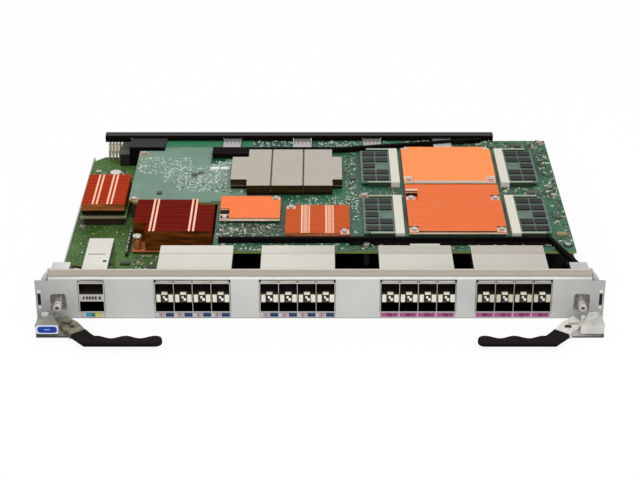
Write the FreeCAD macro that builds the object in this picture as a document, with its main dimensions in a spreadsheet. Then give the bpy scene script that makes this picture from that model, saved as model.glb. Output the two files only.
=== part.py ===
import FreeCAD, Part
import Sketcher
import math
import os
import re

# Switch blade module: a wide card for a storage or network chassis.
# It has a port faceplate with ejector levers, two stacked circuit boards and copper heat sinks.
# X runs to the right along the faceplate, Y runs back into the chassis and Z is up.
# The origin is the middle of the tray's underside.
# Inside this file Y is measured from the faceplate's front, and each piece is then placed by FRONT.

doc = FreeCAD.newDocument("SwitchBlade")
sizes = doc.addObject("Spreadsheet::Sheet", "Sizes")
Vector = FreeCAD.Vector
pieces = []


# Driving dimensions in mm, each written once
size_values = {
    # Faceplate: one folded sheet with a flange along its top
    "panel_width": 433,
    "panel_height": 35.9,
    "panel_sheet": 1.5,
    "panel_flange": 10.2,
    "panel_bend": 2,
    "panel_step_width": 10.2,
    "panel_shoulder": 32.2,

    # Conductive gasket that lies on the top flange
    "gasket_end_gap": 0.3,
    "gasket_depth": 8.5,
    "gasket_height": 2.9,
    "gasket_setback": 0.6,

    # Tray that carries the boards
    "tray_width": 415,
    "tray_length": 292,
    "tray_sheet": 1.2,
    "tray_wall": 4.2,
    "tray_bend": 1.6,

    # Lower board, on short standoffs
    "lower_lift": 1.8,
    "lower_width": 411,
    "lower_setback": 3.5,
    "lower_length": 288,
    "lower_thick": 2.4,
    "board_corner": 9,

    # Upper board, on tall standoffs
    "upper_lift": 14.6,
    "upper_thick": 2,
    "upper_right": 204.5,
    "upper_left": 162,
    "upper_front": 69.5,
    "upper_back": 291,
    "upper_wing_front": 160.5,
    "upper_wing_back": 268,
    "upper_wing_inner": 139.6,
    "upper_bay_right": 86,
    "upper_corner": 6,

    # Standoffs and the screws on them
    "standoff_radius": 2.6,
    "standoff_bore": 1.25,
    "board_hole": 1.75,
    "screw_head_radius": 2.6,
    "screw_head_height": 1.5,
    "screw_reach": 5,
    "mount_column_right": 199,
    "mount_column_middle": 37.5,
    "mount_column_left": 157.5,
    "mount_row_front": 80,
    "mount_row_middle": 173.5,
    "mount_row_back": 262,
    "lower_hole_column": 199,
    "lower_hole_front": 16,
    "lower_hole_middle": 146,
    "lower_hole_back": 258,

    # Stacked cages for the small ports, four columns to a cage
    "port_pitch": 14.25,
    "port_columns": 4,
    "port_opening": 8.6,
    "port_middle": 7,
    "cage_wall": 0.5,
    "cage_proud": 0.4,
    "cage_depth": 63,
    "cage_connector_depth": 17,
    "cage_fit": 0.15,
    "cage_one_centre": -97.05,
    "cage_two_centre": -17.2,
    "cage_three_centre": 74.7,
    "cage_four_centre": 147.45,
    "separator_lip": 0.8,

    # Wide stacked cage for the two large ports
    "wide_cage_centre": -173.9,
    "wide_cage_width": 19.4,
    "wide_cage_depth": 75.5,

    # Windows in the faceplate for the cages
    "window_gap": 0.45,
    "window_crown": 2.8,
    "frame_sheet": 0.5,
    "frame_side": 2.4,

    # Captive screws near the faceplate's ends
    "captive_inset": 17.1,
    "captive_height": 13.3,
    "captive_window_width": 12.2,
    "captive_window_height": 15.6,
    "captive_window_corner": 2.4,
    "captive_recess": 9,
    "captive_head_radius": 3.15,
    "captive_head_front": 8.6,
    "captive_head_length": 7,
    "captive_socket": 1.5,
    "captive_socket_depth": 3,
    "captive_shank_radius": 1.75,
    "captive_shank_end": 12,
    "captive_thread_radius": 1.5,
    "captive_thread_length": 5,
    "captive_washer_radius": 3,
    "captive_washer_thick": 0.8,
    "captive_spring_radius": 2.7,
    "captive_spring_wire": 0.5,
    "captive_gap": 0.06,

    # End brackets beside the tray
    "bracket_sheet": 1.2,
    "bracket_web_inset": 7.6,
    "bracket_length": 34,
    "bracket_floor": 6.75,
    "bracket_height": 31.8,
    "gusset_depth": 6,
    "gusset_sheet": 1.3,
    "gusset_foot": 3,
    "gusset_foot_rise": 2,
    "bracket_toe": 4,
    "bracket_margin": 2,
    "bracket_rise": 1.3,
    "bracket_tab_inset": 11.5,
    "bracket_tab_back": 21.5,
    "bracket_shelf_inset": 10.5,

    # Ejector housings below the faceplate's ends
    "housing_reach": 29.8,
    "housing_margin": 4.9,
    "housing_span": 25.7,
    "housing_slope": 6,
    "housing_roof": 10.9,
    "housing_sheet": 1.2,
    "housing_roof_back": 4,
    "housing_roof_front": 12.6,
    "housing_roof_setback": 9.8,
    "housing_roof_outer": 2.9,
    "housing_lip": 7.6,
    "housing_side_back": 17,

    # Ejector levers
    "pivot_inset": 8.5,
    "pivot_forward": 14,
    "pivot_radius": 2,
    "pivot_head_radius": 3,
    "pivot_head_height": 0.9,
    "lever_thick": 1.5,
    "lever_floor": 1.45,
    "lever_rise": 4.7,
    "lever_clear": 21,
    "lever_spacer": 2.2,
    "lever_hole": 1.8,
    "lever_fit": 0.05,
    "lever_eye": 3.4,
    "lever_toe": 7.9,
    "grip_thick": 4.6,
    "grip_floor": 2.75,
    "grip_front": 35,
    "grip_length": 91,
    "grip_first": 42,
    "grip_pitch": 21.6,
    "grip_wave": 1.9,
    "grip_crest": 24.6,
    "grip_round": 1.1,
    "grip_fit": 0.05,
    "stud_radius": 1.7,
    "stud_height": 5.9,

    # Number plate on the left housing's lip
    "plate_width": 16.6,
    "plate_height": 7.2,
    "plate_thick": 0.5,
    "plate_margin": 0.4,
    "plate_corner": 1.4,

    # Rivets on the faceplate's ends
    "rivet_radius": 1.5,
    "rivet_height": 0.7,
    "rivet_shank": 0.9,
    "rivet_inset": 2.9,
    "rivet_low": 9.8,
    "rivet_high": 23.4,
    "slot_inset": 2.7,
    "slot_width": 2.4,
    "slot_low": 12.2,
    "slot_high": 20.6,

    # Stiffeners on the upper board and along the rear
    "stiffener_height": 4.6,
    "stiffener_thick": 3,
    "stiffener_foot": 7,
    "stiffener_foot_sheet": 1.5,
    "front_stiffener_row": 84,
    "front_stiffener_left": 82,
    "front_stiffener_step": 24,
    "front_stiffener_bend": 185,
    "front_stiffener_end": 202.5,
    "front_stiffener_end_row": 41,
    "middle_stiffener_left": 96,
    "middle_stiffener_pad": 33,
    "middle_stiffener_row": 263.5,
    "middle_stiffener_depth": 15,
    "middle_stiffener_bend": 18,
    "middle_stiffener_end": 146,
    "middle_stiffener_end_row": 285,
    "rear_bar_left": 196,
    "rear_bar_right": 158,
    "rear_bar_row": 293,
    "rear_bar_depth": 8.5,
    "rear_bar_top": 26.2,
    "rear_bar_sheet": 1.4,
    "rear_bar_lip": 2.2,
    "rear_bar_drop": 10,

    # Connectors along the rear edge
    "signal_first": -79.6,
    "signal_pitch": 63.4,
    "signal_count": 4,
    "signal_width": 15.8,
    "signal_front": 271,
    "signal_back": 305,
    "signal_shoulder": 17.5,
    "signal_rise": 2.5,
    "power_left": 172,
    "power_width": 32,
    "power_front": 272.5,
    "power_back": 306,
    "power_rise": 18.4,
    "power_slots": 5,
    "power_slot_width": 2,
    "power_slot_depth": 8,
    "power_slot_lift": 3,
    "guide_left": 181,
    "guide_width": 8.6,
    "guide_front": 272,
    "guide_back": 306,
    "guide_rise": 11.5,
    "guide_bore": 2.6,
    "guide_bore_depth": 18,
    "blade_left": 192.5,
    "blade_pitch": 3,
    "blade_count": 4,
    "blade_thick": 1,
    "blade_front": 284,
    "blade_back": 303,
    "blade_rise": 14,
    "connector_gap": 0.4,

    # Heat sinks: a base plate with thin fins that run along X
    "fin_pitch": 2.6,
    "fin_thick": 1.8,
    "sink_base": 1.3,
    "chip_rise": 2,
    "chip_inset": 7,
    "board_sink_top": 27,

    # Red heat sink over a small plug-in board at the left
    "left_sink_centre": -182.4,
    "left_sink_width": 36,
    "left_sink_front": 151.5,
    "left_sink_depth": 60,
    "left_sink_top": 24.6,
    "plug_board_margin": 1.5,
    "plug_board_thick": 1.6,
    "plug_connector_rise": 6.2,
    "plug_connector_depth": 7,
    "plug_connector_inset": 3,

    # Tall dark heat sink that stands on the lower board
    "tall_sink_left": 153,
    "tall_sink_right": 87.6,
    "tall_sink_front": 96.6,
    "tall_sink_back": 158,
    "tall_sink_top": 26.5,
    "tall_sink_step": 101.8,
    "tall_sink_step_row": 150,
    "tall_sink_notch": 11,
    "tall_sink_notch_depth": 14.5,

    # Silver heat sink with a wing at each side
    "silver_sink_left": 62.6,
    "silver_sink_right": 10.6,
    "silver_sink_front": 174.8,
    "silver_sink_back": 251.7,
    "silver_sink_top": 31,
    "silver_wing_left": 76.7,
    "silver_wing_right": 19,
    "silver_wing_front": 187,
    "silver_wing_back": 235,
    "silver_cut_left": 42,
    "silver_cut_right": 14.4,
    "silver_cut_width": 1,

    # Small orange heat sink
    "small_sink_left": 83,
    "small_sink_right": 33,
    "small_sink_front": 120.5,
    "small_sink_back": 163.5,

    # Striped orange heat sink
    "striped_sink_left": 28.2,
    "striped_sink_right": 24.2,
    "striped_sink_front": 92.5,
    "striped_sink_back": 146,

    # Two large orange heat sinks between the memory modules
    "large_sink_centre": 112.1,
    "large_sink_width": 79.4,
    "rear_sink_front": 194,
    "rear_sink_back": 266,
    "front_sink_front": 96,
    "front_sink_back": 187,
    "screw_notch": 8.5,

    # Spring screws that clamp the heat sinks
    "sink_screw_shank": 1.1,
    "sink_spring_radius": 3.6,
    "sink_spring_rise": 12,
    "sink_screw_radius": 2.1,
    "sink_screw_rise": 2.6,
    "sink_screw_inset": 4.2,

    # Memory sockets and modules
    "memory_length": 73,
    "memory_socket_width": 7.4,
    "memory_socket_rise": 4.6,
    "memory_socket_outer": 50.8,
    "memory_arm": 3,
    "memory_arm_reach": 20,
    "memory_front_row": 92.5,
    "memory_back_row": 190.5,
    "memory_card_width": 30,
    "memory_card_length": 66.6,
    "memory_card_thick": 1.2,
    "memory_card_lift": 2.2,
    "memory_card_entry": 4.4,
    "memory_chip_width": 10.4,
    "memory_chip_length": 8.2,
    "memory_chip_rise": 1,
    "memory_slot_gap": 0.1,
    "memory_slot_run": 0.5,

    # Small parts on the lower board
    "capacitor_radius": 5.2,
    "capacitor_rise": 6.4,
    "capacitor_round": 0.6,
    "capacitor_column": -182,
    "capacitor_row": 245,
    "header_column": -158.5,
    "header_front": 92,
    "header_length": 42,
    "header_width": 2.5,
    "header_rise": 2.5,
    "header_pin_pitch": 3,
    "header_pin_radius": 0.5,
    "header_pin_rise": 5.5,

}
for row, (name, value) in enumerate(size_values.items(), 1):
    sizes.set("A%d" % row, name)
    sizes.set("B%d" % row, str(value))
    sizes.setAlias("B%d" % row, name)
doc.recompute()


# Formulas that several pieces share
PANEL_STEP = "(panel_width / 2 - panel_step_width)"
GASKET_HALF = "(panel_width / 2 - panel_step_width - gasket_end_gap)"
WEB_COLUMN = "(panel_width / 2 - bracket_web_inset)"
SHELF_COLUMN = "(panel_width / 2 - bracket_shelf_inset)"
TAB_COLUMN = "(panel_width / 2 - bracket_tab_inset)"
RIVET_COLUMN = "(panel_width / 2 - rivet_inset)"
SLOT_COLUMN = "(panel_width / 2 - slot_inset)"
CAPTIVE_COLUMN = "(panel_width / 2 - captive_inset)"
PIVOT_COLUMN = "(panel_width / 2 - pivot_inset)"
FRONT = "-(panel_sheet + tray_length / 2)"
LOWER_UNDER = "(tray_sheet + lower_lift)"
LOWER_TOP = "(tray_sheet + lower_lift + lower_thick)"
LOWER_BACK = "(lower_setback + lower_length)"
UPPER_UNDER = "(tray_sheet + lower_lift + lower_thick + upper_lift)"
UPPER_TOP = "(tray_sheet + lower_lift + lower_thick + upper_lift + upper_thick)"
CAGE_WIDTH = "(port_pitch * port_columns + cage_wall)"
CAGE_HEIGHT = "(2 * port_opening + port_middle + 2 * cage_wall)"
CAGE_TOP = "(" + LOWER_TOP + " + " + CAGE_HEIGHT + ")"
CAGE_CENTRES = ["cage_one_centre", "cage_two_centre", "cage_three_centre", "cage_four_centre"]
WALL_BACK = "(panel_sheet + captive_recess + bracket_sheet)"
BRACKET_TOP = "(panel_height + bracket_rise)"
PLUG_TOP = "(" + LOWER_TOP + " + plug_connector_rise + plug_board_thick)"
MIDDLE_LOW = "(" + LOWER_TOP + " + cage_wall + port_opening)"
MIDDLE_HIGH = "(" + LOWER_TOP + " + cage_wall + port_opening + port_middle)"


def bound(text):
    def reference(found):
        word = found.group(0)
        return "Sizes." + word if word in size_values else word
    return re.sub(r"[a-z_][a-z0-9_]*", reference, text)


def number(name):
    return float(sizes.get(name))


def new_body(label):
    body = doc.addObject("PartDesign::Body", "Body_" + label)
    body.Label = label
    body.AllowCompound = True
    body.setExpression("Placement.Base.y", bound(FRONT))
    pieces.append(body)
    return body


def origin_feature(body, role):
    return [item for item in body.Origin.OriginFeatures if item.Role == role][0]


def new_sketch(body, role, offset="0"):
    sketch = body.newObject("Sketcher::SketchObject", "Sketch")
    sketch.AttachmentSupport = [(origin_feature(body, role), "")]
    sketch.MapMode = "FlatFace"
    if role == "XZ_Plane":
        offset = "-(" + offset + ")"
    sketch.setExpression("AttachmentOffset.Base.z", bound(offset))
    return sketch


def pin_point(sketch, index, point, x, y):
    across = sketch.addConstraint(Sketcher.Constraint("DistanceX", -1, 1, index, point, 1.0))
    sketch.setExpression("Constraints[%d]" % across, bound(x))
    up = sketch.addConstraint(Sketcher.Constraint("DistanceY", -1, 1, index, point, 1.0))
    sketch.setExpression("Constraints[%d]" % up, bound(y))


def outline(sketch, points):
    first = sketch.GeometryCount
    count = len(points)
    turn = 2 * math.pi / count
    starts = [Vector(math.cos(turn * i), math.sin(turn * i), 0) for i in range(count)]
    for i in range(count):
        sketch.addGeometry(Part.LineSegment(starts[i], starts[(i + 1) % count]), False)
    for i in range(count):
        following = first + (i + 1) % count
        sketch.addConstraint(Sketcher.Constraint("Coincident", first + i, 2, following, 1))
    for i, (x, y) in enumerate(points):
        pin_point(sketch, first + i, 1, x, y)


def rectangle(sketch, low_x, high_x, low_y, high_y):
    outline(sketch, [(low_x, low_y), (high_x, low_y), (high_x, high_y), (low_x, high_y)])


def circle(sketch, x, y, radius):
    index = sketch.addGeometry(Part.Circle(Vector(0, 0, 0), Vector(0, 0, 1), 1), False)
    pin_point(sketch, index, 3, x, y)
    rule = sketch.addConstraint(Sketcher.Constraint("Radius", index, 1.0))
    sketch.setExpression("Constraints[%d]" % rule, bound(radius))


def pad(body, sketch, length):
    feature = body.newObject("PartDesign::Pad", "Pad")
    feature.Profile = sketch
    feature.setExpression("Length", bound(length))
    feature.Reversed = sketch.AttachmentSupport[0][0].Role == "XZ_Plane"
    body.Tip = feature
    return feature


def pocket(body, sketch, depth=None):
    feature = body.newObject("PartDesign::Pocket", "Pocket")
    feature.Profile = sketch
    if depth is None:
        feature.Type = "ThroughAll"
        feature.Midplane = True
    else:
        feature.setExpression("Length", bound(depth))
        feature.Reversed = sketch.AttachmentSupport[0][0].Role != "XZ_Plane"
    body.Tip = feature
    return feature


def pattern(body, feature, axis, length, count):
    copies = body.newObject("PartDesign::LinearPattern", "Pattern")
    copies.Originals = [feature]
    copies.Direction = (origin_feature(body, axis), [""])
    copies.setExpression("Length", bound(length))
    copies.setExpression("Occurrences", bound(count))
    body.Tip = copies
    return copies


def round_edges(body, radius, chosen):
    doc.recompute()
    base = body.Tip
    names = []
    for i, edge in enumerate(base.Shape.Edges):
        if chosen(edge):
            names.append("Edge%d" % (i + 1))
    feature = body.newObject("PartDesign::Fillet", "Fillet")
    feature.Base = (base, names)
    feature.setExpression("Radius", bound(radius))
    body.Tip = feature
    return feature


def block(label, low_x, high_x, low_y, high_y, low_z, high_z):
    body = new_body(label)
    sketch = new_sketch(body, "XY_Plane", low_z)
    rectangle(sketch, low_x, high_x, low_y, high_y)
    pad(body, sketch, "(" + high_z + ") - (" + low_z + ")")
    return body


def runs_along(edge, axis):
    if not isinstance(edge.Curve, Part.Line):
        return False
    return abs(edge.Curve.Direction.dot(axis)) > 0.999


ALONG_X = Vector(1, 0, 0)
ALONG_Y = Vector(0, 1, 0)


def make_faceplate():
    body = new_body("faceplate")
    sketch = new_sketch(body, "YZ_Plane", "-panel_width / 2")
    outline(sketch, [
        ("0", "0"), ("panel_sheet", "0"), ("panel_sheet", "panel_height - panel_sheet"),
        ("panel_flange", "panel_height - panel_sheet"), ("panel_flange", "panel_height"),
        ("0", "panel_height")])
    pad(body, sketch, "panel_width")
    top = number("panel_height")

    def outer_bend(edge):
        middle = edge.CenterOfMass
        return runs_along(edge, ALONG_X) and middle.z > top - 0.01 and abs(middle.y) < 0.01

    round_edges(body, "panel_bend", outer_bend)
    shoulders = new_sketch(body, "XZ_Plane")
    for side in ["-1", "1"]:
        rectangle(shoulders, side + " * " + PANEL_STEP, side + " * (panel_width / 2 + 1)",
                  "panel_shoulder", "panel_height + 1")
    pocket(body, shoulders)
    windows = new_sketch(body, "XZ_Plane")
    low = LOWER_TOP + " - window_gap"
    high = CAGE_TOP + " + window_crown"
    for centre in CAGE_CENTRES:
        half = "(" + CAGE_WIDTH + " / 2 + window_gap)"
        rectangle(windows, centre + " - " + half, centre + " + " + half, low, high)
    half = "(wide_cage_width / 2 + window_gap)"
    rectangle(windows, "wide_cage_centre - " + half, "wide_cage_centre + " + half, low, high)
    for side in ["-1", "1"]:
        centre = side + " * " + CAPTIVE_COLUMN
        half_x = "captive_window_width / 2"
        half_z = "captive_window_height / 2"
        rectangle(windows, centre + " - " + half_x, centre + " + " + half_x,
                  "captive_height - " + half_z, "captive_height + " + half_z)
        centre = side + " * " + SLOT_COLUMN
        rectangle(windows, centre + " - slot_width / 2", centre + " + slot_width / 2",
                  "slot_low", "slot_high")
        for height in ["rivet_low", "rivet_high"]:
            circle(windows, side + " * " + RIVET_COLUMN, height, "rivet_shank")
    pocket(body, windows)
    column = number("panel_width") / 2 - number("captive_inset")
    reach = number("captive_window_width") / 2 + 0.01
    height = number("captive_height")
    rise = number("captive_window_height") / 2 + 0.01

    def window_corner(edge):
        middle = edge.CenterOfMass
        beside = abs(abs(middle.x) - column) < reach
        return runs_along(edge, ALONG_Y) and beside and abs(middle.z - height) < rise

    round_edges(body, "captive_window_corner", window_corner)


def make_top_gasket():
    body = new_body("top_gasket")
    sketch = new_sketch(body, "YZ_Plane", "-" + GASKET_HALF)
    rectangle(sketch, "gasket_setback", "gasket_setback + gasket_depth",
              "panel_height", "panel_height + gasket_height")
    pad(body, sketch, "2 * " + GASKET_HALF)
    top = number("panel_height") + number("gasket_height")

    def upper_edge(edge):
        return runs_along(edge, ALONG_X) and edge.CenterOfMass.z > top - 0.01

    round_edges(body, "gasket_height * 0.8", upper_edge)


def make_base_tray():
    body = new_body("base_tray")
    sketch = new_sketch(body, "XZ_Plane", "panel_sheet")
    half = "tray_width / 2"
    inner = "(tray_width / 2 - tray_sheet)"
    outline(sketch, [
        ("-" + half, "0"), (half, "0"), (half, "tray_wall"), (inner, "tray_wall"),
        (inner, "tray_sheet"), ("-" + inner, "tray_sheet"), ("-" + inner, "tray_wall"),
        ("-" + half, "tray_wall")])
    pad(body, sketch, "tray_length")

    def lower_bend(edge):
        return runs_along(edge, ALONG_Y) and edge.CenterOfMass.z < 0.01

    round_edges(body, "tray_bend", lower_bend)


def make_end_bracket(label, side):
    body = new_body(label)
    web_in = "(" + side + " * (" + WEB_COLUMN + " - bracket_sheet))"
    web_out = "(" + side + " * " + WEB_COLUMN + ")"
    floor = "bracket_floor"
    web = new_sketch(body, "YZ_Plane", web_out if side == "-1" else web_in)
    outline(web, [
        ("panel_sheet", floor), ("panel_sheet + bracket_length", floor),
        ("panel_sheet + bracket_length", floor + " + bracket_toe"),
        (WALL_BACK, "bracket_height"), ("panel_sheet", "bracket_height")])
    pad(body, web, "bracket_sheet")
    flange = new_sketch(body, "XZ_Plane", "panel_sheet")
    rectangle(flange, web_in, side + " * (panel_width / 2 - 1)", floor, "bracket_height")
    for height in ["rivet_low", "rivet_high"]:
        circle(flange, side + " * " + RIVET_COLUMN, height, "rivet_shank")
    pad(body, flange, "bracket_sheet")
    wall = new_sketch(body, "XZ_Plane", "panel_sheet + captive_recess")
    lip_in = side + " * (" + CAPTIVE_COLUMN + " - captive_window_width / 2 - bracket_margin)"
    rectangle(wall, lip_in, web_in, floor, BRACKET_TOP)
    circle(wall, side + " * " + CAPTIVE_COLUMN, "captive_height", "captive_shank_radius + captive_gap")
    pad(body, wall, "bracket_sheet")
    shelf_floor = "(" + LOWER_TOP + " + cage_fit)"
    skirt = new_sketch(body, "XZ_Plane", "panel_sheet + captive_recess")
    shelf_out = side + " * " + SHELF_COLUMN
    rectangle(skirt, lip_in, shelf_out, shelf_floor, floor + " + bracket_sheet")
    pad(body, skirt, "bracket_sheet")
    shelf = new_sketch(body, "XY_Plane", shelf_floor)
    rectangle(shelf, lip_in, shelf_out, "panel_sheet", WALL_BACK)
    pad(body, shelf, "bracket_sheet * 0.8")
    gusset = new_sketch(body, "XZ_Plane", "panel_sheet")
    step = side + " * (" + PANEL_STEP + " + cage_fit * 2)"
    step_out = side + " * (" + PANEL_STEP + " + cage_fit * 2 + gusset_sheet)"
    foot_out = side + " * (" + WEB_COLUMN + " + gusset_foot)"
    outline(gusset, [
        (step, BRACKET_TOP), (step_out, BRACKET_TOP),
        (foot_out, "bracket_height"), (foot_out, "bracket_height - gusset_foot_rise"),
        (web_in, "bracket_height - gusset_foot_rise"), (web_in, "bracket_height")])
    pad(body, gusset, "gusset_depth")
    tab = new_sketch(body, "XY_Plane", BRACKET_TOP + " - bracket_sheet")
    rectangle(tab, lip_in, side + " * " + TAB_COLUMN, WALL_BACK, "bracket_tab_back")
    pad(body, tab, "bracket_sheet")


def make_lower_board():
    body = new_body("lower_board")
    sketch = new_sketch(body, "XY_Plane", LOWER_UNDER)
    half = "lower_width / 2"
    outline(sketch, [
        ("-" + half, "lower_setback"), (half, "lower_setback"),
        (half, LOWER_BACK + " - board_corner"), (half + " - board_corner", LOWER_BACK),
        ("-" + half + " + board_corner", LOWER_BACK),
        ("-" + half, LOWER_BACK + " - board_corner")])
    pad(body, sketch, "lower_thick")
    holes = new_sketch(body, "XY_Plane", LOWER_UNDER)
    for side in ["-1", "1"]:
        for row in ["lower_hole_front", "lower_hole_middle", "lower_hole_back"]:
            circle(holes, side + " * lower_hole_column", row, "board_hole")
    pocket(body, holes)


def upper_mount_points():
    points = []
    for row in ["mount_row_front", "mount_row_middle", "upper_back - 5"]:
        points.append(("mount_column_right", row))
    for row in ["mount_row_front", "mount_row_middle"]:
        points.append(("mount_column_middle", row))
    points.append(("-mount_column_left", "mount_row_back"))
    points.append(("-mount_column_left", "upper_wing_front + 6"))
    return points


def make_upper_board():
    body = new_body("upper_board")
    sketch = new_sketch(body, "XY_Plane", UPPER_UNDER)
    outline(sketch, [
        ("upper_right", "upper_front"), ("upper_right", "upper_back"),
        ("-upper_wing_inner", "upper_back"), ("-upper_wing_inner", "upper_wing_back"),
        ("-upper_left", "upper_wing_back"), ("-upper_left", "upper_wing_front + upper_corner"),
        ("-upper_left + upper_corner", "upper_wing_front"),
        ("-upper_bay_right", "upper_wing_front"), ("-upper_bay_right", "upper_front")])
    pad(body, sketch, "upper_thick")
    holes = new_sketch(body, "XY_Plane", UPPER_UNDER)
    for x, y in upper_mount_points():
        circle(holes, x, y, "board_hole")
    for i in range(int(number("signal_count"))):
        centre = "(signal_first + %d * signal_pitch)" % i
        half = "(signal_width / 2 + connector_gap)"
        rectangle(holes, centre + " - " + half, centre + " + " + half,
                  "signal_front - connector_gap", "upper_back + 1")
    pocket(body, holes)


def make_standoffs():
    body = new_body("board_standoffs")
    short = new_sketch(body, "XY_Plane", "tray_sheet")
    for side in ["-1", "1"]:
        for row in ["lower_hole_front", "lower_hole_middle", "lower_hole_back"]:
            circle(short, side + " * lower_hole_column", row, "standoff_radius")
            circle(short, side + " * lower_hole_column", row, "standoff_bore")
    pad(body, short, "lower_lift")
    tall = new_sketch(body, "XY_Plane", LOWER_TOP)
    for x, y in upper_mount_points():
        circle(tall, x, y, "standoff_radius")
        circle(tall, x, y, "standoff_bore")
    pad(body, tall, "upper_lift")


def make_board_screws():
    body = new_body("board_screws")
    places = [(x, y, UPPER_TOP) for x, y in upper_mount_points()]
    for side in ["-1", "1"]:
        for row in ["lower_hole_front", "lower_hole_middle", "lower_hole_back"]:
            places.append((side + " * lower_hole_column", row, LOWER_TOP))
    for level in [UPPER_TOP, LOWER_TOP]:
        heads = new_sketch(body, "XY_Plane", level)
        shanks = new_sketch(body, "XY_Plane", level + " - screw_reach + lower_lift")
        for x, y, seat in places:
            if seat == level:
                circle(heads, x, y, "screw_head_radius")
                circle(shanks, x, y, "standoff_bore - lever_fit")
        pad(body, heads, "screw_head_height")
        pad(body, shanks, "screw_reach - lower_lift")


def make_cage(label, centre, width, depth):
    body = new_body(label)
    sketch = new_sketch(body, "XZ_Plane", "-cage_proud")
    half = "(" + width + ") / 2"
    rectangle(sketch, centre + " - " + half, centre + " + " + half, LOWER_TOP, CAGE_TOP)
    pad(body, sketch, depth + " + cage_proud")
    inside = new_sketch(body, "XZ_Plane", "-cage_proud")
    rectangle(inside, centre + " - " + half + " + cage_wall", centre + " + " + half + " - cage_wall",
              LOWER_TOP + " + cage_wall", CAGE_TOP + " - cage_wall")
    pocket(body, inside, depth + " + cage_proud - cage_wall")


def make_cage_insides():
    dividers = new_body("cage_dividers")
    sheets = new_sketch(dividers, "XY_Plane", LOWER_TOP + " + cage_wall")
    separators = new_body("port_separators")
    fronts = new_sketch(separators, "XY_Plane", MIDDLE_LOW)
    connectors = new_body("port_connectors")
    backs = new_sketch(connectors, "XY_Plane", LOWER_TOP + " + cage_wall")
    socket_front = "(cage_depth - cage_connector_depth - cage_wall + cage_fit)"
    for centre in CAGE_CENTRES:
        start = "(" + centre + " - " + CAGE_WIDTH + " / 2)"
        for column in range(int(number("port_columns"))):
            low = "(" + start + " + %d * port_pitch + cage_wall)" % column
            high = "(" + start + " + %d * port_pitch)" % (column + 1)
            rectangle(fronts, low, high, "-cage_proud - separator_lip",
                      "cage_depth - cage_connector_depth - cage_wall")
            if column > 0:
                edge = "(" + start + " + %d * port_pitch)" % column
                rectangle(sheets, edge, edge + " + cage_wall", "-cage_proud",
                          "cage_depth - cage_connector_depth - cage_wall")
        rectangle(backs, start + " + cage_wall", start + " + " + CAGE_WIDTH + " - cage_wall",
                  socket_front, "cage_depth - cage_wall")
    pad(dividers, sheets, CAGE_HEIGHT + " - 2 * cage_wall")
    pad(separators, fronts, "port_middle")
    pad(connectors, backs, CAGE_HEIGHT + " - 2 * cage_wall")
    half = "(wide_cage_width / 2 - cage_wall)"
    block("wide_port_separator", "wide_cage_centre - " + half, "wide_cage_centre + " + half,
          "-cage_proud - separator_lip / 2", "wide_cage_depth - cage_connector_depth - cage_wall",
          MIDDLE_LOW, MIDDLE_HIGH)
    block("wide_port_connector", "wide_cage_centre - " + half, "wide_cage_centre + " + half,
          "wide_cage_depth - cage_connector_depth - cage_wall + cage_fit",
          "wide_cage_depth - cage_wall", LOWER_TOP + " + cage_wall", CAGE_TOP + " - cage_wall")


def make_cage_frames():
    body = new_body("cage_frames")
    sketch = new_sketch(body, "XZ_Plane", "panel_sheet")
    widths = [(centre, CAGE_WIDTH) for centre in CAGE_CENTRES]
    widths.append(("wide_cage_centre", "wide_cage_width"))
    low = "lower_lift + tray_sheet"
    high = "panel_height - panel_sheet - cage_fit"
    for centre, width in widths:
        inner = "(" + width + " / 2 + cage_fit)"
        outer = "(" + width + " / 2 + frame_side)"
        rectangle(sketch, centre + " - " + outer, centre + " + " + outer, low, high)
        rectangle(sketch, centre + " - " + inner, centre + " + " + inner,
                  LOWER_TOP + " - cage_fit", CAGE_TOP + " + cage_fit")
    pad(body, sketch, "frame_sheet")


def make_housing(label, side):
    # Everything across the housing is measured from the pivot
    body = new_body(label)
    outer = side + " * (" + PIVOT_COLUMN + " + housing_margin)"
    inner = side + " * (" + PIVOT_COLUMN + " + housing_margin - housing_span)"
    floor = new_sketch(body, "XY_Plane", "0")
    outline(floor, [
        (outer, "-cage_fit"), (outer, "-housing_reach"), (inner, "-housing_reach"),
        (side + " * (" + PIVOT_COLUMN + " + housing_margin - housing_span + housing_slope)", "-cage_fit")])
    pad(body, floor, "housing_sheet")
    roof = new_sketch(body, "XY_Plane", "housing_roof - housing_sheet")
    front_corner = side + " * (" + PIVOT_COLUMN + " - housing_roof_front)"
    outline(roof, [
        (outer, "-housing_side_back"), (outer, "-housing_reach"), (front_corner, "-housing_reach"),
        (side + " * (" + PIVOT_COLUMN + " - housing_roof_back)", "-housing_roof_setback"),
        (side + " * (" + PIVOT_COLUMN + " + housing_roof_outer)", "-housing_roof_setback")])
    pad(body, roof, "housing_sheet")
    lip = new_sketch(body, "XY_Plane", "housing_roof - housing_lip")
    rectangle(lip, front_corner, outer, "-housing_reach", "-housing_reach + housing_sheet")
    pad(body, lip, "housing_lip")
    wall = new_sketch(body, "XY_Plane", "0")
    rectangle(wall, side + " * (" + PIVOT_COLUMN + " + housing_margin - housing_sheet)", outer,
              "-housing_reach", "-housing_side_back")
    pad(body, wall, "housing_roof")
    hole = new_sketch(body, "XY_Plane", "0")
    circle(hole, side + " * " + PIVOT_COLUMN, "-pivot_forward", "pivot_radius")
    pocket(body, hole)


ARM_BACK = [(-15.6, 6.3), (-24.7, -2.5), (-32.5, -14.7)]
ARM_TONGUE = [(-30.9, -15.9), (-37.6, -26.2), (-33, -31), (-23.7, -21.3)]
ARM_FRONT = [(-22.1, -22.5), (-10.8, -2.5)]
SPACERS = [(-27.5, -12.3), (-22.6, -15.4)]
HOLE = (-21.4, -9.6)
STUD = (-8.6, 1)


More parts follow.
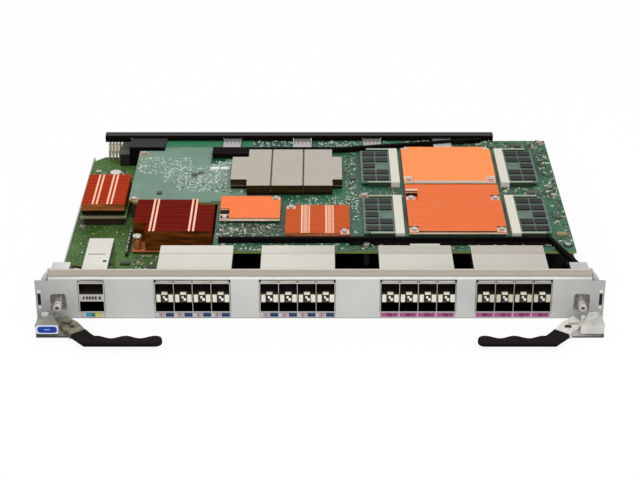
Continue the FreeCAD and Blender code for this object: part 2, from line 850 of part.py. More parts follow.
def from_pivot(side, points):
    placed = []
    for x, y in points:
        placed.append(("%s * (%s + %g)" % (side, PIVOT_COLUMN, x), "%g - pivot_forward" % y))
    return placed


def make_lever_plate(label, side):
    # Two sheets with spacers: the lower one turns on the pin, the upper one stays clear of the housing
    body = new_body(label)
    pivot = from_pivot(side, [(0, 0)])[0]
    lower_end = [(-31.2, -12.8), (-20.9, -20.4)]
    upper_floor = "lever_rise"
    lower = new_sketch(body, "XY_Plane", "lever_floor")
    outline(lower, from_pivot(side, [(0, 3.4)] + ARM_BACK[:2] + lower_end + [ARM_FRONT[1], (0, -3.4)]))
    pad(body, lower, "lever_thick")
    eye = new_sketch(body, "XY_Plane", "lever_floor")
    circle(eye, pivot[0], pivot[1], "lever_eye")
    pad(body, eye, "lever_thick")
    toe = new_sketch(body, "XY_Plane", "lever_floor")
    reach = side + " * (" + PIVOT_COLUMN + " + lever_toe)"
    outline(toe, [
        (pivot[0], "lever_eye - pivot_forward"), (reach, "1.5 - pivot_forward"),
        (reach, "-1.5 - pivot_forward"), (pivot[0], "-lever_eye - pivot_forward")])
    pad(body, toe, "lever_thick")
    spacers = new_sketch(body, "XY_Plane", "lever_floor + lever_thick")
    for x, y in from_pivot(side, SPACERS):
        circle(spacers, x, y, "lever_spacer")
    pad(body, spacers, upper_floor + " - lever_floor - lever_thick")
    upper = new_sketch(body, "XY_Plane", upper_floor)
    outline(upper, from_pivot(side, ARM_BACK + ARM_TONGUE + ARM_FRONT))
    pad(body, upper, "lever_thick")
    swing = new_sketch(body, "XY_Plane", upper_floor)
    reach = number("lever_clear")
    turns = [math.radians(degrees) for degrees in range(184, 270, 11)]
    sector = [(0, 0)] + [(reach * math.cos(turn), reach * math.sin(turn)) for turn in turns]
    outline(swing, from_pivot(side, sector))
    pocket(body, swing, "lever_thick")
    holes = new_sketch(body, "XY_Plane", upper_floor)
    place = from_pivot(side, [HOLE])[0]
    circle(holes, place[0], place[1], "lever_hole")
    pocket(body, holes, "lever_thick")
    stud = new_sketch(body, "XY_Plane", "lever_floor + lever_thick")
    place = from_pivot(side, [STUD])[0]
    circle(stud, place[0], place[1], "stud_radius")
    pad(body, stud, "stud_height")
    bore = new_sketch(body, "XY_Plane", "lever_floor")
    circle(bore, pivot[0], pivot[1], "pivot_radius + lever_fit")
    pocket(body, bore)


def grip_points():
    # Three hollows for the fingers are one wave along the side that faces the faceplate
    front = -number("grip_front")
    points = [(-33, front)] + [ARM_FRONT[0], ARM_BACK[2]] + [(-37, -21)]
    pitch = number("grip_pitch")
    steps = 24
    start = number("grip_first") - pitch / 14
    end = number("grip_first") + 2 * pitch + pitch / 36
    for i in range(steps + 1):
        along = start + (end - start) * i / steps
        wave = math.cos(2 * math.pi * (along - number("grip_first")) / pitch)
        points.append((-along, number("grip_wave") * (wave - 1) - number("grip_crest")))
    tip_x = -number("grip_length")
    middle = (front + points[-1][1]) / 2
    radius_x = tip_x - points[-1][0]
    radius_y = (points[-1][1] - front) / 2
    for degrees in range(20, 180, 20):
        turn = math.radians(degrees)
        points.append((points[steps + 4][0] + radius_x * math.sin(turn), middle + radius_y * math.cos(turn)))
    points.append((points[steps + 4][0], front))
    return points


def inset_points(points, distance):
    # Each corner moves inwards along the mean of its two edges' normals
    moved = []
    for i, (x, y) in enumerate(points):
        back = Vector(x - points[i - 1][0], y - points[i - 1][1], 0).normalize()
        ahead = points[(i + 1) % len(points)]
        onward = Vector(ahead[0] - x, ahead[1] - y, 0).normalize()
        inward = Vector(-back.y - onward.y, back.x + onward.x, 0).normalize()
        reach = distance / max(0.5, inward.dot(Vector(-back.y, back.x, 0)))
        moved.append((x + inward.x * reach, y + inward.y * reach))
    return moved


def make_lever_grip(label, side):
    sign = int(side)
    thick = number("grip_thick")
    rounding = number("grip_round")
    low = number("grip_floor")
    pivot = number("panel_width") / 2 - number("pivot_inset")

    def at(x, y, z):
        return Vector(sign * (pivot + x), y - number("pivot_forward"), z)

    outer = grip_points()
    layers = []
    for height, inset in [(0, 1), (0.3, 0.3), (1, 0)]:
        layers.append((low + rounding * height, rounding * inset))
    for height, inset in [(1, 0), (0.3, 0.3), (0, 1)]:
        layers.append((low + thick - rounding * height, rounding * inset))
    wires = []
    for z, inset in layers:
        ring = [at(x, y, z) for x, y in inset_points(outer, inset)]
        wires.append(Part.makePolygon(ring + ring[:1]))
    solid = Part.makeLoft(wires, True, True)
    fit = number("grip_fit")
    slot_floor = number("lever_rise") - fit
    slot_points = [at(x, y, slot_floor) for x, y in inset_points(ARM_TONGUE, -fit)]
    slot = Part.Face(Part.makePolygon(slot_points + slot_points[:1]))
    slot = slot.extrude(Vector(0, 0, number("lever_thick") + 2 * fit))
    feature = doc.addObject("Part::Feature", "Feature_" + label)
    feature.Label = label
    feature.Shape = solid.cut(slot)
    feature.setExpression("Placement.Base.y", bound(FRONT))
    pieces.append(feature)


def make_pivot_pins():
    body = new_body("pivot_pins")
    shanks = new_sketch(body, "XY_Plane", "0")
    shoulders = new_sketch(body, "XY_Plane", "housing_sheet")
    heads = new_sketch(body, "XY_Plane", "housing_roof")
    for side in ["-1", "1"]:
        circle(shanks, side + " * " + PIVOT_COLUMN, "-pivot_forward", "pivot_radius")
        circle(shoulders, side + " * " + PIVOT_COLUMN, "-pivot_forward", "pivot_head_radius")
        circle(heads, side + " * " + PIVOT_COLUMN, "-pivot_forward", "pivot_head_radius")
    pad(body, shanks, "housing_roof")
    pad(body, shoulders, "lever_floor - housing_sheet - lever_fit")
    pad(body, heads, "pivot_head_height")


def make_captive_screw(name, side):
    head_back = "(captive_head_length - captive_head_front)"
    column = side + " * " + CAPTIVE_COLUMN
    screw = new_body(name + "_captive_screw")
    head = new_sketch(screw, "XZ_Plane", "-captive_head_front")
    circle(head, column, "captive_height", "captive_head_radius")
    pad(screw, head, "captive_head_length")
    shank = new_sketch(screw, "XZ_Plane", head_back)
    circle(shank, column, "captive_height", "captive_shank_radius")
    pad(screw, shank, "captive_shank_end - " + head_back)
    thread = new_sketch(screw, "XZ_Plane", "captive_shank_end")
    circle(thread, column, "captive_height", "captive_thread_radius")
    pad(screw, thread, "captive_thread_length")
    recess = new_sketch(screw, "XZ_Plane", "-captive_head_front")
    circle(recess, column, "captive_height", "captive_socket")
    pocket(screw, recess, "captive_socket_depth")
    washer = new_body(name + "_screw_washer")
    ring = new_sketch(washer, "XZ_Plane", head_back + " + captive_gap")
    circle(ring, column, "captive_height", "captive_washer_radius")
    circle(ring, column, "captive_height", "captive_shank_radius + captive_gap")
    pad(washer, ring, "captive_washer_thick")
    spring = new_body(name + "_screw_spring")
    start = "(" + head_back + " + captive_washer_thick + 2 * captive_gap)"
    coil = new_sketch(spring, "XZ_Plane", start)
    circle(coil, column, "captive_height", "captive_spring_radius")
    circle(coil, column, "captive_height", "captive_spring_radius - captive_spring_wire")
    pad(spring, coil, "panel_sheet + captive_recess - captive_gap - " + start)


def make_number_plate():
    body = new_body("number_plate")
    sketch = new_sketch(body, "XZ_Plane", "-housing_reach - plate_thick")
    low_x = "-(" + PIVOT_COLUMN + " + housing_margin - plate_margin)"
    high_x = "-(" + PIVOT_COLUMN + " + housing_margin - plate_margin - plate_width)"
    middle = "(housing_roof - housing_lip / 2)"
    rectangle(sketch, low_x, high_x, middle + " - plate_height / 2", middle + " + plate_height / 2")
    pad(body, sketch, "plate_thick")
    round_edges(body, "plate_corner", lambda edge: runs_along(edge, ALONG_Y))


def make_rivets():
    body = new_body("panel_rivets")
    heads = new_sketch(body, "XZ_Plane", "-rivet_height")
    shanks = new_sketch(body, "XZ_Plane", "0")
    for side in ["-1", "1"]:
        for height in ["rivet_low", "rivet_high"]:
            circle(heads, side + " * " + RIVET_COLUMN, height, "rivet_radius")
            circle(shanks, side + " * " + RIVET_COLUMN, height, "rivet_shank")
    pad(body, heads, "rivet_height")
    pad(body, shanks, "panel_sheet + bracket_sheet")


def make_front_stiffener():
    body = new_body("front_stiffener")
    sketch = new_sketch(body, "XY_Plane", UPPER_TOP)
    back = "(front_stiffener_row + stiffener_thick)"
    outline(sketch, [
        ("-front_stiffener_left", "front_stiffener_row"),
        ("front_stiffener_bend - 1", "front_stiffener_row"),
        ("front_stiffener_end - stiffener_thick", "front_stiffener_end_row"),
        ("front_stiffener_end - stiffener_thick", WALL_BACK),
        ("front_stiffener_end", WALL_BACK),
        ("front_stiffener_end", "front_stiffener_end_row + 1"),
        ("front_stiffener_bend + 1", back), ("-front_stiffener_left", back)])
    pad(body, sketch, "stiffener_height")
    foot = new_sketch(body, "XY_Plane", UPPER_TOP)
    rectangle(foot, "front_stiffener_step", "front_stiffener_bend - 2",
              back + " - stiffener_foot", back)
    pad(body, foot, "stiffener_foot_sheet")
    ear = new_sketch(body, "XY_Plane", UPPER_TOP)
    circle(ear, "mount_column_middle", "mount_row_front", "screw_head_radius + 0.4")
    pocket(body, ear, "stiffener_height")


def make_middle_stiffener():
    body = new_body("middle_stiffener")
    sketch = new_sketch(body, "XY_Plane", UPPER_TOP)
    row = "middle_stiffener_row"
    inner_x = "(middle_stiffener_pad - middle_stiffener_left)"
    front = row + " + stiffener_thick - middle_stiffener_depth"
    outline(sketch, [
        ("-middle_stiffener_left", row + " + stiffener_thick"),
        ("-middle_stiffener_left", front), (inner_x, front), (inner_x, row),
        ("middle_stiffener_bend", row), ("middle_stiffener_end", "middle_stiffener_end_row"),
        ("middle_stiffener_end", "middle_stiffener_end_row + stiffener_thick"),
        ("middle_stiffener_bend - 1", row + " + stiffener_thick")])
    pad(body, sketch, "stiffener_height")
    reliefs = new_sketch(body, "XY_Plane", UPPER_TOP)
    for index in [2, 3]:
        centre = "(signal_first + %d * signal_pitch)" % index
        reach = "(signal_width / 2 + connector_gap)"
        rectangle(reliefs, centre + " - " + reach, centre + " + " + reach,
                  "signal_front - connector_gap", "signal_back")
    pocket(body, reliefs, "signal_rise + connector_gap")


def make_rear_stiffener():
    body = new_body("rear_stiffener")
    sketch = new_sketch(body, "YZ_Plane", "-rear_bar_left")
    front = "rear_bar_row"
    back = "(rear_bar_row + rear_bar_depth)"
    top = "rear_bar_top"
    outline(sketch, [
        (front, top), (front, top + " - rear_bar_lip"),
        (front + " + rear_bar_sheet", top + " - rear_bar_lip"),
        (front + " + rear_bar_sheet", top + " - rear_bar_sheet"),
        (back + " - rear_bar_sheet", top + " - rear_bar_sheet"),
        (back + " - rear_bar_sheet", top + " - rear_bar_lip"),
        (back, top + " - rear_bar_lip"), (back, top)])
    pad(body, sketch, "rear_bar_left + rear_bar_right")
    web = new_sketch(body, "XZ_Plane", front)
    low = "-power_left + power_width + connector_gap"
    for index in range(int(number("signal_count"))):
        centre = "(signal_first + %d * signal_pitch)" % index
        rectangle(web, low, centre + " - signal_width / 2 - connector_gap",
                  top + " - rear_bar_drop", top + " - rear_bar_lip")
        low = centre + " + signal_width / 2 + connector_gap"
    rectangle(web, low, "rear_bar_right", top + " - rear_bar_drop", top + " - rear_bar_lip")
    pad(body, web, "rear_bar_sheet")


def make_signal_connectors():
    body = new_body("signal_connectors")
    sketch = new_sketch(body, "YZ_Plane", "signal_first - signal_width / 2")
    rise = "(" + UPPER_TOP + " + signal_rise)"
    shoulder = "(" + LOWER_TOP + " + signal_shoulder)"
    outline(sketch, [
        ("signal_front", LOWER_TOP), ("signal_back", LOWER_TOP), ("signal_back", shoulder),
        ("rear_bar_row - connector_gap", shoulder), ("rear_bar_row - connector_gap", rise),
        ("signal_front", rise)])
    first = pad(body, sketch, "signal_width")
    pattern(body, first, "X_Axis", "(signal_count - 1) * signal_pitch", "signal_count")


def make_power_connector():
    body = block("power_connector", "-power_left", "-power_left + power_width",
                 "power_front", "power_back", LOWER_TOP, LOWER_TOP + " + power_rise")
    slots = new_sketch(body, "XZ_Plane", "power_back - power_slot_depth")
    pitch = "(power_width / power_slots)"
    for i in range(int(number("power_slots"))):
        centre = "(-power_left + (%d + 0.5) * %s)" % (i, pitch)
        rectangle(slots, centre + " - power_slot_width / 2", centre + " + power_slot_width / 2",
                  LOWER_TOP + " + power_slot_lift", LOWER_TOP + " + power_rise - power_slot_lift")
    pocket(body, slots, "power_slot_depth + 1")


def make_guide_block():
    body = block("guide_block", "-guide_left", "-guide_left + guide_width",
                 "guide_front", "guide_back", LOWER_TOP, LOWER_TOP + " + guide_rise")
    hole = new_sketch(body, "XZ_Plane", "guide_back - guide_bore_depth")
    circle(hole, "-guide_left + guide_width / 2", LOWER_TOP + " + guide_rise / 2", "guide_bore")
    pocket(body, hole, "guide_bore_depth + 1")


def make_power_blades():
    body = new_body("power_blades")
    sketch = new_sketch(body, "YZ_Plane", "-blade_left")
    high = LOWER_TOP + " + blade_rise"
    outline(sketch, [
        ("blade_front", LOWER_TOP), (LOWER_BACK, LOWER_TOP), ("blade_back", LOWER_TOP + " + 2"),
        ("blade_back", high + " - 2"), ("blade_back - 2", high), ("blade_front + 3", high),
        ("blade_front", high + " - 4")])
    first = pad(body, sketch, "blade_thick")
    pattern(body, first, "X_Axis", "(blade_count - 1) * blade_pitch", "blade_count")


# Places where spring screws hold a heat sink: x, y, board surface and base plate surface
screw_places = []


def make_sink(label, left, right, front, back, floor, top, notches=(), corners=(), cuts=()):
    body = new_body(label)
    base = new_sketch(body, "XY_Plane", floor)
    rectangle(base, left, right, front, back)
    pad(body, base, "sink_base")
    fin = new_sketch(body, "XY_Plane", floor + " + sink_base")
    rectangle(fin, left, right, front, front + " + fin_thick")
    height = "((" + top + ") - (" + floor + ") - sink_base)"
    row = pad(body, fin, height)
    span = "((" + back + ") - (" + front + ") - fin_thick)"
    pattern(body, row, "Y_Axis", span, "(floor(" + span + " / fin_pitch) + 1)")
    for low_x, high_x, low_y, high_y in notches:
        notch = new_sketch(body, "XY_Plane", floor + " + sink_base")
        rectangle(notch, low_x, high_x, low_y, high_y)
        pocket(body, notch, height)
    for low_x, high_x, low_y, high_y in corners:
        corner = new_sketch(body, "XY_Plane", floor)
        rectangle(corner, low_x, high_x, low_y, high_y)
        pocket(body, corner)
    for centre in cuts:
        gap = new_sketch(body, "XY_Plane", floor + " + sink_base")
        rectangle(gap, centre + " - silver_cut_width / 2", centre + " + silver_cut_width / 2",
                  front + " - 1", back + " + 1")
        pocket(body, gap, height)
    return body


def screw_down(body, floor, board, places):
    holes = new_sketch(body, "XY_Plane", floor)
    for x, y in places:
        circle(holes, x, y, "sink_screw_shank + lever_fit")
        screw_places.append((x, y, board, "(" + floor + " + sink_base)"))
    pocket(body, holes, "sink_base")


def make_heat_sinks():
    board = UPPER_TOP
    floor = "(" + UPPER_TOP + " + chip_rise)"
    top = "board_sink_top"

    left = "(left_sink_centre - left_sink_width / 2)"
    right = "(left_sink_centre + left_sink_width / 2)"
    left_floor = "(" + PLUG_TOP + " + chip_rise)"
    make_sink("left_heat_sink", left, right, "left_sink_front", "(left_sink_front + left_sink_depth)",
              left_floor, "left_sink_top")

    tall_floor = "(" + LOWER_TOP + " + chip_rise)"
    notch_x = "(tall_sink_notch - tall_sink_left)"
    notch_y = "(tall_sink_front + tall_sink_notch_depth)"
    tall = make_sink(
        "tall_heat_sink", "-tall_sink_left", "-tall_sink_right", "tall_sink_front", "tall_sink_back",
        tall_floor, "tall_sink_top",
        [("-tall_sink_left - 1", notch_x, "tall_sink_front - 1", notch_y)],
        [("-tall_sink_step", "1 - tall_sink_right", "tall_sink_step_row", "tall_sink_back + 1")])
    screw_down(tall, tall_floor, LOWER_TOP, [
        ("sink_screw_inset - tall_sink_left", "tall_sink_front + sink_screw_inset")])

    make_sink(
        "silver_heat_sink", "-silver_wing_left", "silver_wing_right", "silver_sink_front",
        "silver_sink_back", floor, "silver_sink_top", (), [
            ("-silver_wing_left - 1", "-silver_sink_left", "silver_sink_front - 1", "silver_wing_front"),
            ("-silver_wing_left - 1", "-silver_sink_left", "silver_wing_back", "silver_sink_back + 1"),
            ("silver_sink_right", "silver_wing_right + 1", "silver_sink_front - 1", "silver_wing_front"),
            ("silver_sink_right", "silver_wing_right + 1", "silver_wing_back", "silver_sink_back + 1")],
        ["-silver_cut_left", "-silver_cut_right"])

    small = make_sink(
        "small_heat_sink", "-small_sink_left", "-small_sink_right", "small_sink_front",
        "small_sink_back", floor, top, [
            ("-small_sink_left - 1", "screw_notch - small_sink_left", "small_sink_front - 1",
             "small_sink_front + screw_notch"),
            ("-small_sink_right - screw_notch", "1 - small_sink_right",
             "small_sink_back - screw_notch", "small_sink_back + 1")])
    screw_down(small, floor, board, [
        ("sink_screw_inset - small_sink_left", "small_sink_front + sink_screw_inset"),
        ("-small_sink_right - sink_screw_inset", "small_sink_back - sink_screw_inset")])

    striped = make_sink(
        "striped_heat_sink", "-striped_sink_left", "striped_sink_right", "striped_sink_front",
        "striped_sink_back", floor, top, [
            ("-striped_sink_left - 1", "screw_notch - striped_sink_left",
             "striped_sink_back - screw_notch", "striped_sink_back + 1"),
            ("striped_sink_right - screw_notch", "striped_sink_right + 1",
             "striped_sink_front - 1", "striped_sink_front + screw_notch")])
    screw_down(striped, floor, board, [
        ("sink_screw_inset - striped_sink_left", "striped_sink_back - sink_screw_inset"),
        ("striped_sink_right - sink_screw_inset", "striped_sink_front + sink_screw_inset")])

    for label, front, back in [("rear_heat_sink", "rear_sink_front", "rear_sink_back"),
                               ("front_heat_sink", "front_sink_front", "front_sink_back")]:
        left = "(large_sink_centre - large_sink_width / 2)"
        right = "(large_sink_centre + large_sink_width / 2)"
        notches = []
        places = []
        for low_x, high_x, x in [
                (left + " - 1", left + " + screw_notch", left + " + sink_screw_inset"),
                (right + " - screw_notch", right + " + 1", right + " - sink_screw_inset")]:
            notches.append((low_x, high_x, front + " - 1", front + " + screw_notch"))
            notches.append((low_x, high_x, back + " - screw_notch", back + " + 1"))
            places.append((x, front + " + sink_screw_inset"))
            places.append((x, back + " - sink_screw_inset"))
        large = make_sink(label, left, right, front, back, floor, top, notches)
        screw_down(large, floor, board, places)


def make_sink_screws():
    body = new_body("heat_sink_screws")
    levels = []
    for x, y, board, seat in screw_places:
        if (board, seat) not in levels:
            levels.append((board, seat))
    for board, seat in levels:
        shanks = new_sketch(body, "XY_Plane", board)
        heads = new_sketch(body, "XY_Plane", seat)
        for x, y, own_board, own_seat in screw_places:
            if (own_board, own_seat) == (board, seat):
                circle(shanks, x, y, "sink_screw_shank")
                circle(heads, x, y, "sink_spring_radius" if board == LOWER_TOP else "sink_screw_radius")
        pad(body, shanks, seat + " - " + board)
        if board == LOWER_TOP:
            pad(body, heads, "sink_spring_rise")
        else:
            pad(body, heads, "sink_screw_rise")


def make_chips():
    body = new_body("chip_packages")
    left = "(left_sink_centre - left_sink_width / 2)"
    right = "(left_sink_centre + left_sink_width / 2)"
    groups = [
        (PLUG_TOP, [(left, right, "left_sink_front", "(left_sink_front + left_sink_depth)")]),
        (LOWER_TOP, [("-tall_sink_left", "-tall_sink_step", "tall_sink_front + tall_sink_notch_depth",
                      "tall_sink_back")]),
        (UPPER_TOP, [
            ("-silver_sink_left", "silver_sink_right", "silver_sink_front", "silver_sink_back"),
            ("-small_sink_left", "-small_sink_right", "small_sink_front", "small_sink_back"),
            ("-striped_sink_left", "striped_sink_right", "striped_sink_front", "striped_sink_back"),
            ("large_sink_centre - large_sink_width / 2", "large_sink_centre + large_sink_width / 2",
             "rear_sink_front", "rear_sink_back"),
            ("large_sink_centre - large_sink_width / 2", "large_sink_centre + large_sink_width / 2",
             "front_sink_front", "front_sink_back")])]
    for level, areas in groups:
        sketch = new_sketch(body, "XY_Plane", level)
        for low_x, high_x, low_y, high_y in areas:
            rectangle(sketch, low_x + " + chip_inset", high_x + " - chip_inset",
                      low_y + " + chip_inset", high_y + " - chip_inset")
        pad(body, sketch, "chip_rise")


def make_plug_board():
    left = "(left_sink_centre - left_sink_width / 2 - plug_board_margin)"
    right = "(left_sink_centre + left_sink_width / 2 + plug_board_margin)"
    front = "(left_sink_front - plug_board_margin)"
    back = "(left_sink_front + left_sink_depth + plug_board_margin)"
    block("plug_in_board", left, right, front, back, LOWER_TOP + " + plug_connector_rise", PLUG_TOP)
    body = new_body("plug_in_connectors")
    sketch = new_sketch(body, "XY_Plane", LOWER_TOP)
    inset_left = left + " + plug_connector_inset"
    inset_right = right + " - plug_connector_inset"
    rectangle(sketch, inset_left, inset_right, front + " + 1", front + " + 1 + plug_connector_depth")
    rectangle(sketch, inset_left, inset_right, back + " - 1 - plug_connector_depth", back + " - 1")
    pad(body, sketch, "plug_connector_rise")


def memory_places():
    # side, outer face of the socket's back wall and front end of the socket
    places = []
    for side in ["-1", "1"]:
        for row in ["memory_front_row", "memory_back_row"]:
            places.append((side, row))
    return places


def make_memory():
    sockets = new_body("memory_sockets")
    bars = new_sketch(sockets, "XY_Plane", UPPER_TOP)
    for side, row in memory_places():
        def across(text, side=side):
            return "(large_sink_centre + " + side + " * (" + text + "))"

        inner = across("memory_socket_outer - memory_socket_width")
        outer = across("memory_socket_outer")
        arm_end = across("memory_socket_outer + memory_arm_reach")
        end = "(" + row + " + memory_length)"
        outline(bars, [
            (inner, row), (arm_end, row), (arm_end, row + " + memory_arm"),
            (outer, row + " + memory_arm"), (outer, end + " - memory_arm"),
            (arm_end, end + " - memory_arm"), (arm_end, end), (inner, end)])
    pad(sockets, bars, "memory_socket_rise")
    slots = new_sketch(sockets, "XY_Plane", UPPER_TOP + " + memory_card_lift - memory_slot_gap")
    for side, row in memory_places():
        depth = "memory_card_entry + memory_slot_gap"
        entry = "(large_sink_centre + " + side + " * (memory_socket_outer - (" + depth + ")))"
        outer = "(large_sink_centre + " + side + " * (memory_socket_outer + memory_slot_run))"
        margin = "((memory_length - memory_card_length) / 2 - memory_slot_gap)"
        rectangle(slots, entry, outer, row + " + " + margin, row + " + memory_length - " + margin)
    pocket(sockets, slots, "memory_card_thick + 2 * memory_slot_gap")
    names = ["left_front", "left_rear", "right_front", "right_rear"]
    for name, (side, row) in zip(names, memory_places()):
        def across(text, side=side):
            return "(large_sink_centre + " + side + " * (" + text + "))"

        module = new_body("memory_module_" + name)
        level = UPPER_TOP + " + memory_card_lift"
        start = "(memory_socket_outer - memory_card_entry)"
        margin = "((memory_length - memory_card_length) / 2)"
        card = new_sketch(module, "XY_Plane", level)
        rectangle(card, across(start), across(start + " + memory_card_width"),
                  row + " + " + margin, row + " + memory_length - " + margin)
        pad(module, card, "memory_card_thick")
        chips = new_sketch(module, "XY_Plane", "(" + level + " + memory_card_thick)")
        for column, line in [(0, 0), (1, 0), (0, 1), (1, 1), (1, 2), (0, 3), (1, 3), (0, 4), (1, 4)]:
            low = start + " + memory_card_entry + 1.6 + %d * (memory_chip_width + 1.2)" % column
            pitch = "(memory_chip_length + 0.9)"
            middle = "(" + row + " + memory_length / 2 + (%d - 2) * 1.42 * %s)" % (line, pitch)
            rectangle(chips, across(low), across(low + " + memory_chip_width"),
                      middle + " - memory_chip_length / 2", middle + " + memory_chip_length / 2")
        pad(module, chips, "memory_chip_rise")


def make_capacitor():
    body = new_body("can_capacitor")
    sketch = new_sketch(body, "XY_Plane", LOWER_TOP)
    circle(sketch, "capacitor_column", "capacitor_row", "capacitor_radius")
    pad(body, sketch, "capacitor_rise")
    rim = number("tray_sheet") + number("lower_lift") + number("lower_thick")
    rim = rim + number("capacitor_rise") - 0.01
    round_edges(body, "capacitor_round", lambda edge: edge.CenterOfMass.z > rim)


def make_pin_header():
    body = block("pin_header", "header_column", "header_column + header_width", "header_front",
                 "header_front + header_length", LOWER_TOP, LOWER_TOP + " + header_rise")
    sketch = new_sketch(body, "XY_Plane", LOWER_TOP + " + header_rise")
    half = "header_pin_radius"
    centre_x = "(header_column + header_width / 2)"
    centre_y = "(header_front + header_pin_pitch / 2)"
    rectangle(sketch, centre_x + " - " + half, centre_x + " + " + half,
              centre_y + " - " + half, centre_y + " + " + half)
    pin = pad(body, sketch, "header_pin_rise - header_rise")
    span = "(header_length - header_pin_pitch)"
    pattern(body, pin, "Y_Axis", span, "(floor(" + span + " / header_pin_pitch) + 1)")


make_faceplate()
make_top_gasket()
make_base_tray()
make_end_bracket("left_end_bracket", "-1")
make_end_bracket("right_end_bracket", "1")
make_lower_board()
make_upper_board()
make_standoffs()
make_board_screws()
for index, centre in enumerate(CAGE_CENTRES):
    make_cage("port_cage_%d" % (index + 1), centre, CAGE_WIDTH, "cage_depth")
make_cage("wide_port_cage", "wide_cage_centre", "wide_cage_width", "wide_cage_depth")
make_cage_insides()
make_cage_frames()
make_housing("left_ejector_housing", "-1")
make_housing("right_ejector_housing", "1")
make_lever_plate("left_lever_plate", "-1")
make_lever_plate("right_lever_plate", "1")
make_lever_grip("left_lever_grip", "-1")
make_lever_grip("right_lever_grip", "1")
make_pivot_pins()
make_captive_screw("left", "-1")
make_captive_screw("right", "1")
make_number_plate()
make_rivets()
make_front_stiffener()
make_middle_stiffener()
make_rear_stiffener()
make_signal_connectors()
make_power_connector()
make_guide_block()
make_power_blades()
make_heat_sinks()
make_sink_screws()
make_chips()
make_plug_board()
make_memory()
make_capacitor()
make_pin_header()
doc.recompute()

for item in doc.Objects:
    if "Invalid" in item.State or "Error" in item.State:
        raise RuntimeError("%s failed: %s" % (item.Name, item.State))
    if item.TypeId == "PartDesign::Pocket":
        before = item.BaseFeature.Shape.Volume if item.BaseFeature else 0
        if item.Shape.Volume > before - 0.001:
            raise RuntimeError("%s cuts nothing in %s" % (item.Name, item.getParent().Label))

os.makedirs("parts", exist_ok=True)
for piece in pieces:
    shape = piece.Shape
    if shape.isNull() or not shape.isValid():
        raise RuntimeError("%s has no valid shape" % piece.Label)
    shape.exportStep("parts/" + piece.Label + ".step")
print("%d pieces, %d solids" % (len(pieces), sum(len(piece.Shape.Solids) for piece in pieces)))
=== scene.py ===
import math

import bpy
import numpy as np
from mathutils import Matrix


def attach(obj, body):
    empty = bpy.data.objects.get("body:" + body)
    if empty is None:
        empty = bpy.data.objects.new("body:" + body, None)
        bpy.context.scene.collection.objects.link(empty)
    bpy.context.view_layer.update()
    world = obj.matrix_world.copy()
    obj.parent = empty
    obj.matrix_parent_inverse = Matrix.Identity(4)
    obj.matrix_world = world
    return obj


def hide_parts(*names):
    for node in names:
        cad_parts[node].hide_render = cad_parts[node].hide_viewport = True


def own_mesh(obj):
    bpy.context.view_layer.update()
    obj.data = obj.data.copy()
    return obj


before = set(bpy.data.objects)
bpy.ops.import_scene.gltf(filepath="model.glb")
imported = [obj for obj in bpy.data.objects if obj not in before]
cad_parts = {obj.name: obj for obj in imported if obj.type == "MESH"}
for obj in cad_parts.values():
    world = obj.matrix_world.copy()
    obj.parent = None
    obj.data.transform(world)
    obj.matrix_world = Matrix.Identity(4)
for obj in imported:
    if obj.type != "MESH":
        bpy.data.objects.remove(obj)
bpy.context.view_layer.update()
scene = bpy.context.scene

# Lengths are in mm, with Y measured from the faceplate's front, down to the stage, which is in metres
panelY = 147.5
perMetre = 1000


# Colour and node helpers: an sRGB hex value as linear colour, by the straight and the power part of its curve
def toLinear(text):
    parts = [int(text[i:i + 2], 16) / 255 for i in (1, 3, 5)]
    return tuple(c / 12.92 if c <= 0.04045 else ((c + 0.055) / 1.055) ** 2.4 for c in parts) + (1.0,)


# A node with its settings, and with its inputs set or linked
def addNode(tree, kind, inputs=(), **settings):
    node = tree.nodes.new(kind)
    for key, value in settings.items():
        setattr(node, key, value)
    for key, value in dict(inputs).items():
        if isinstance(value, bpy.types.NodeSocket):
            tree.links.new(value, node.inputs[key])
        else:
            node.inputs[key].default_value = value
    return node


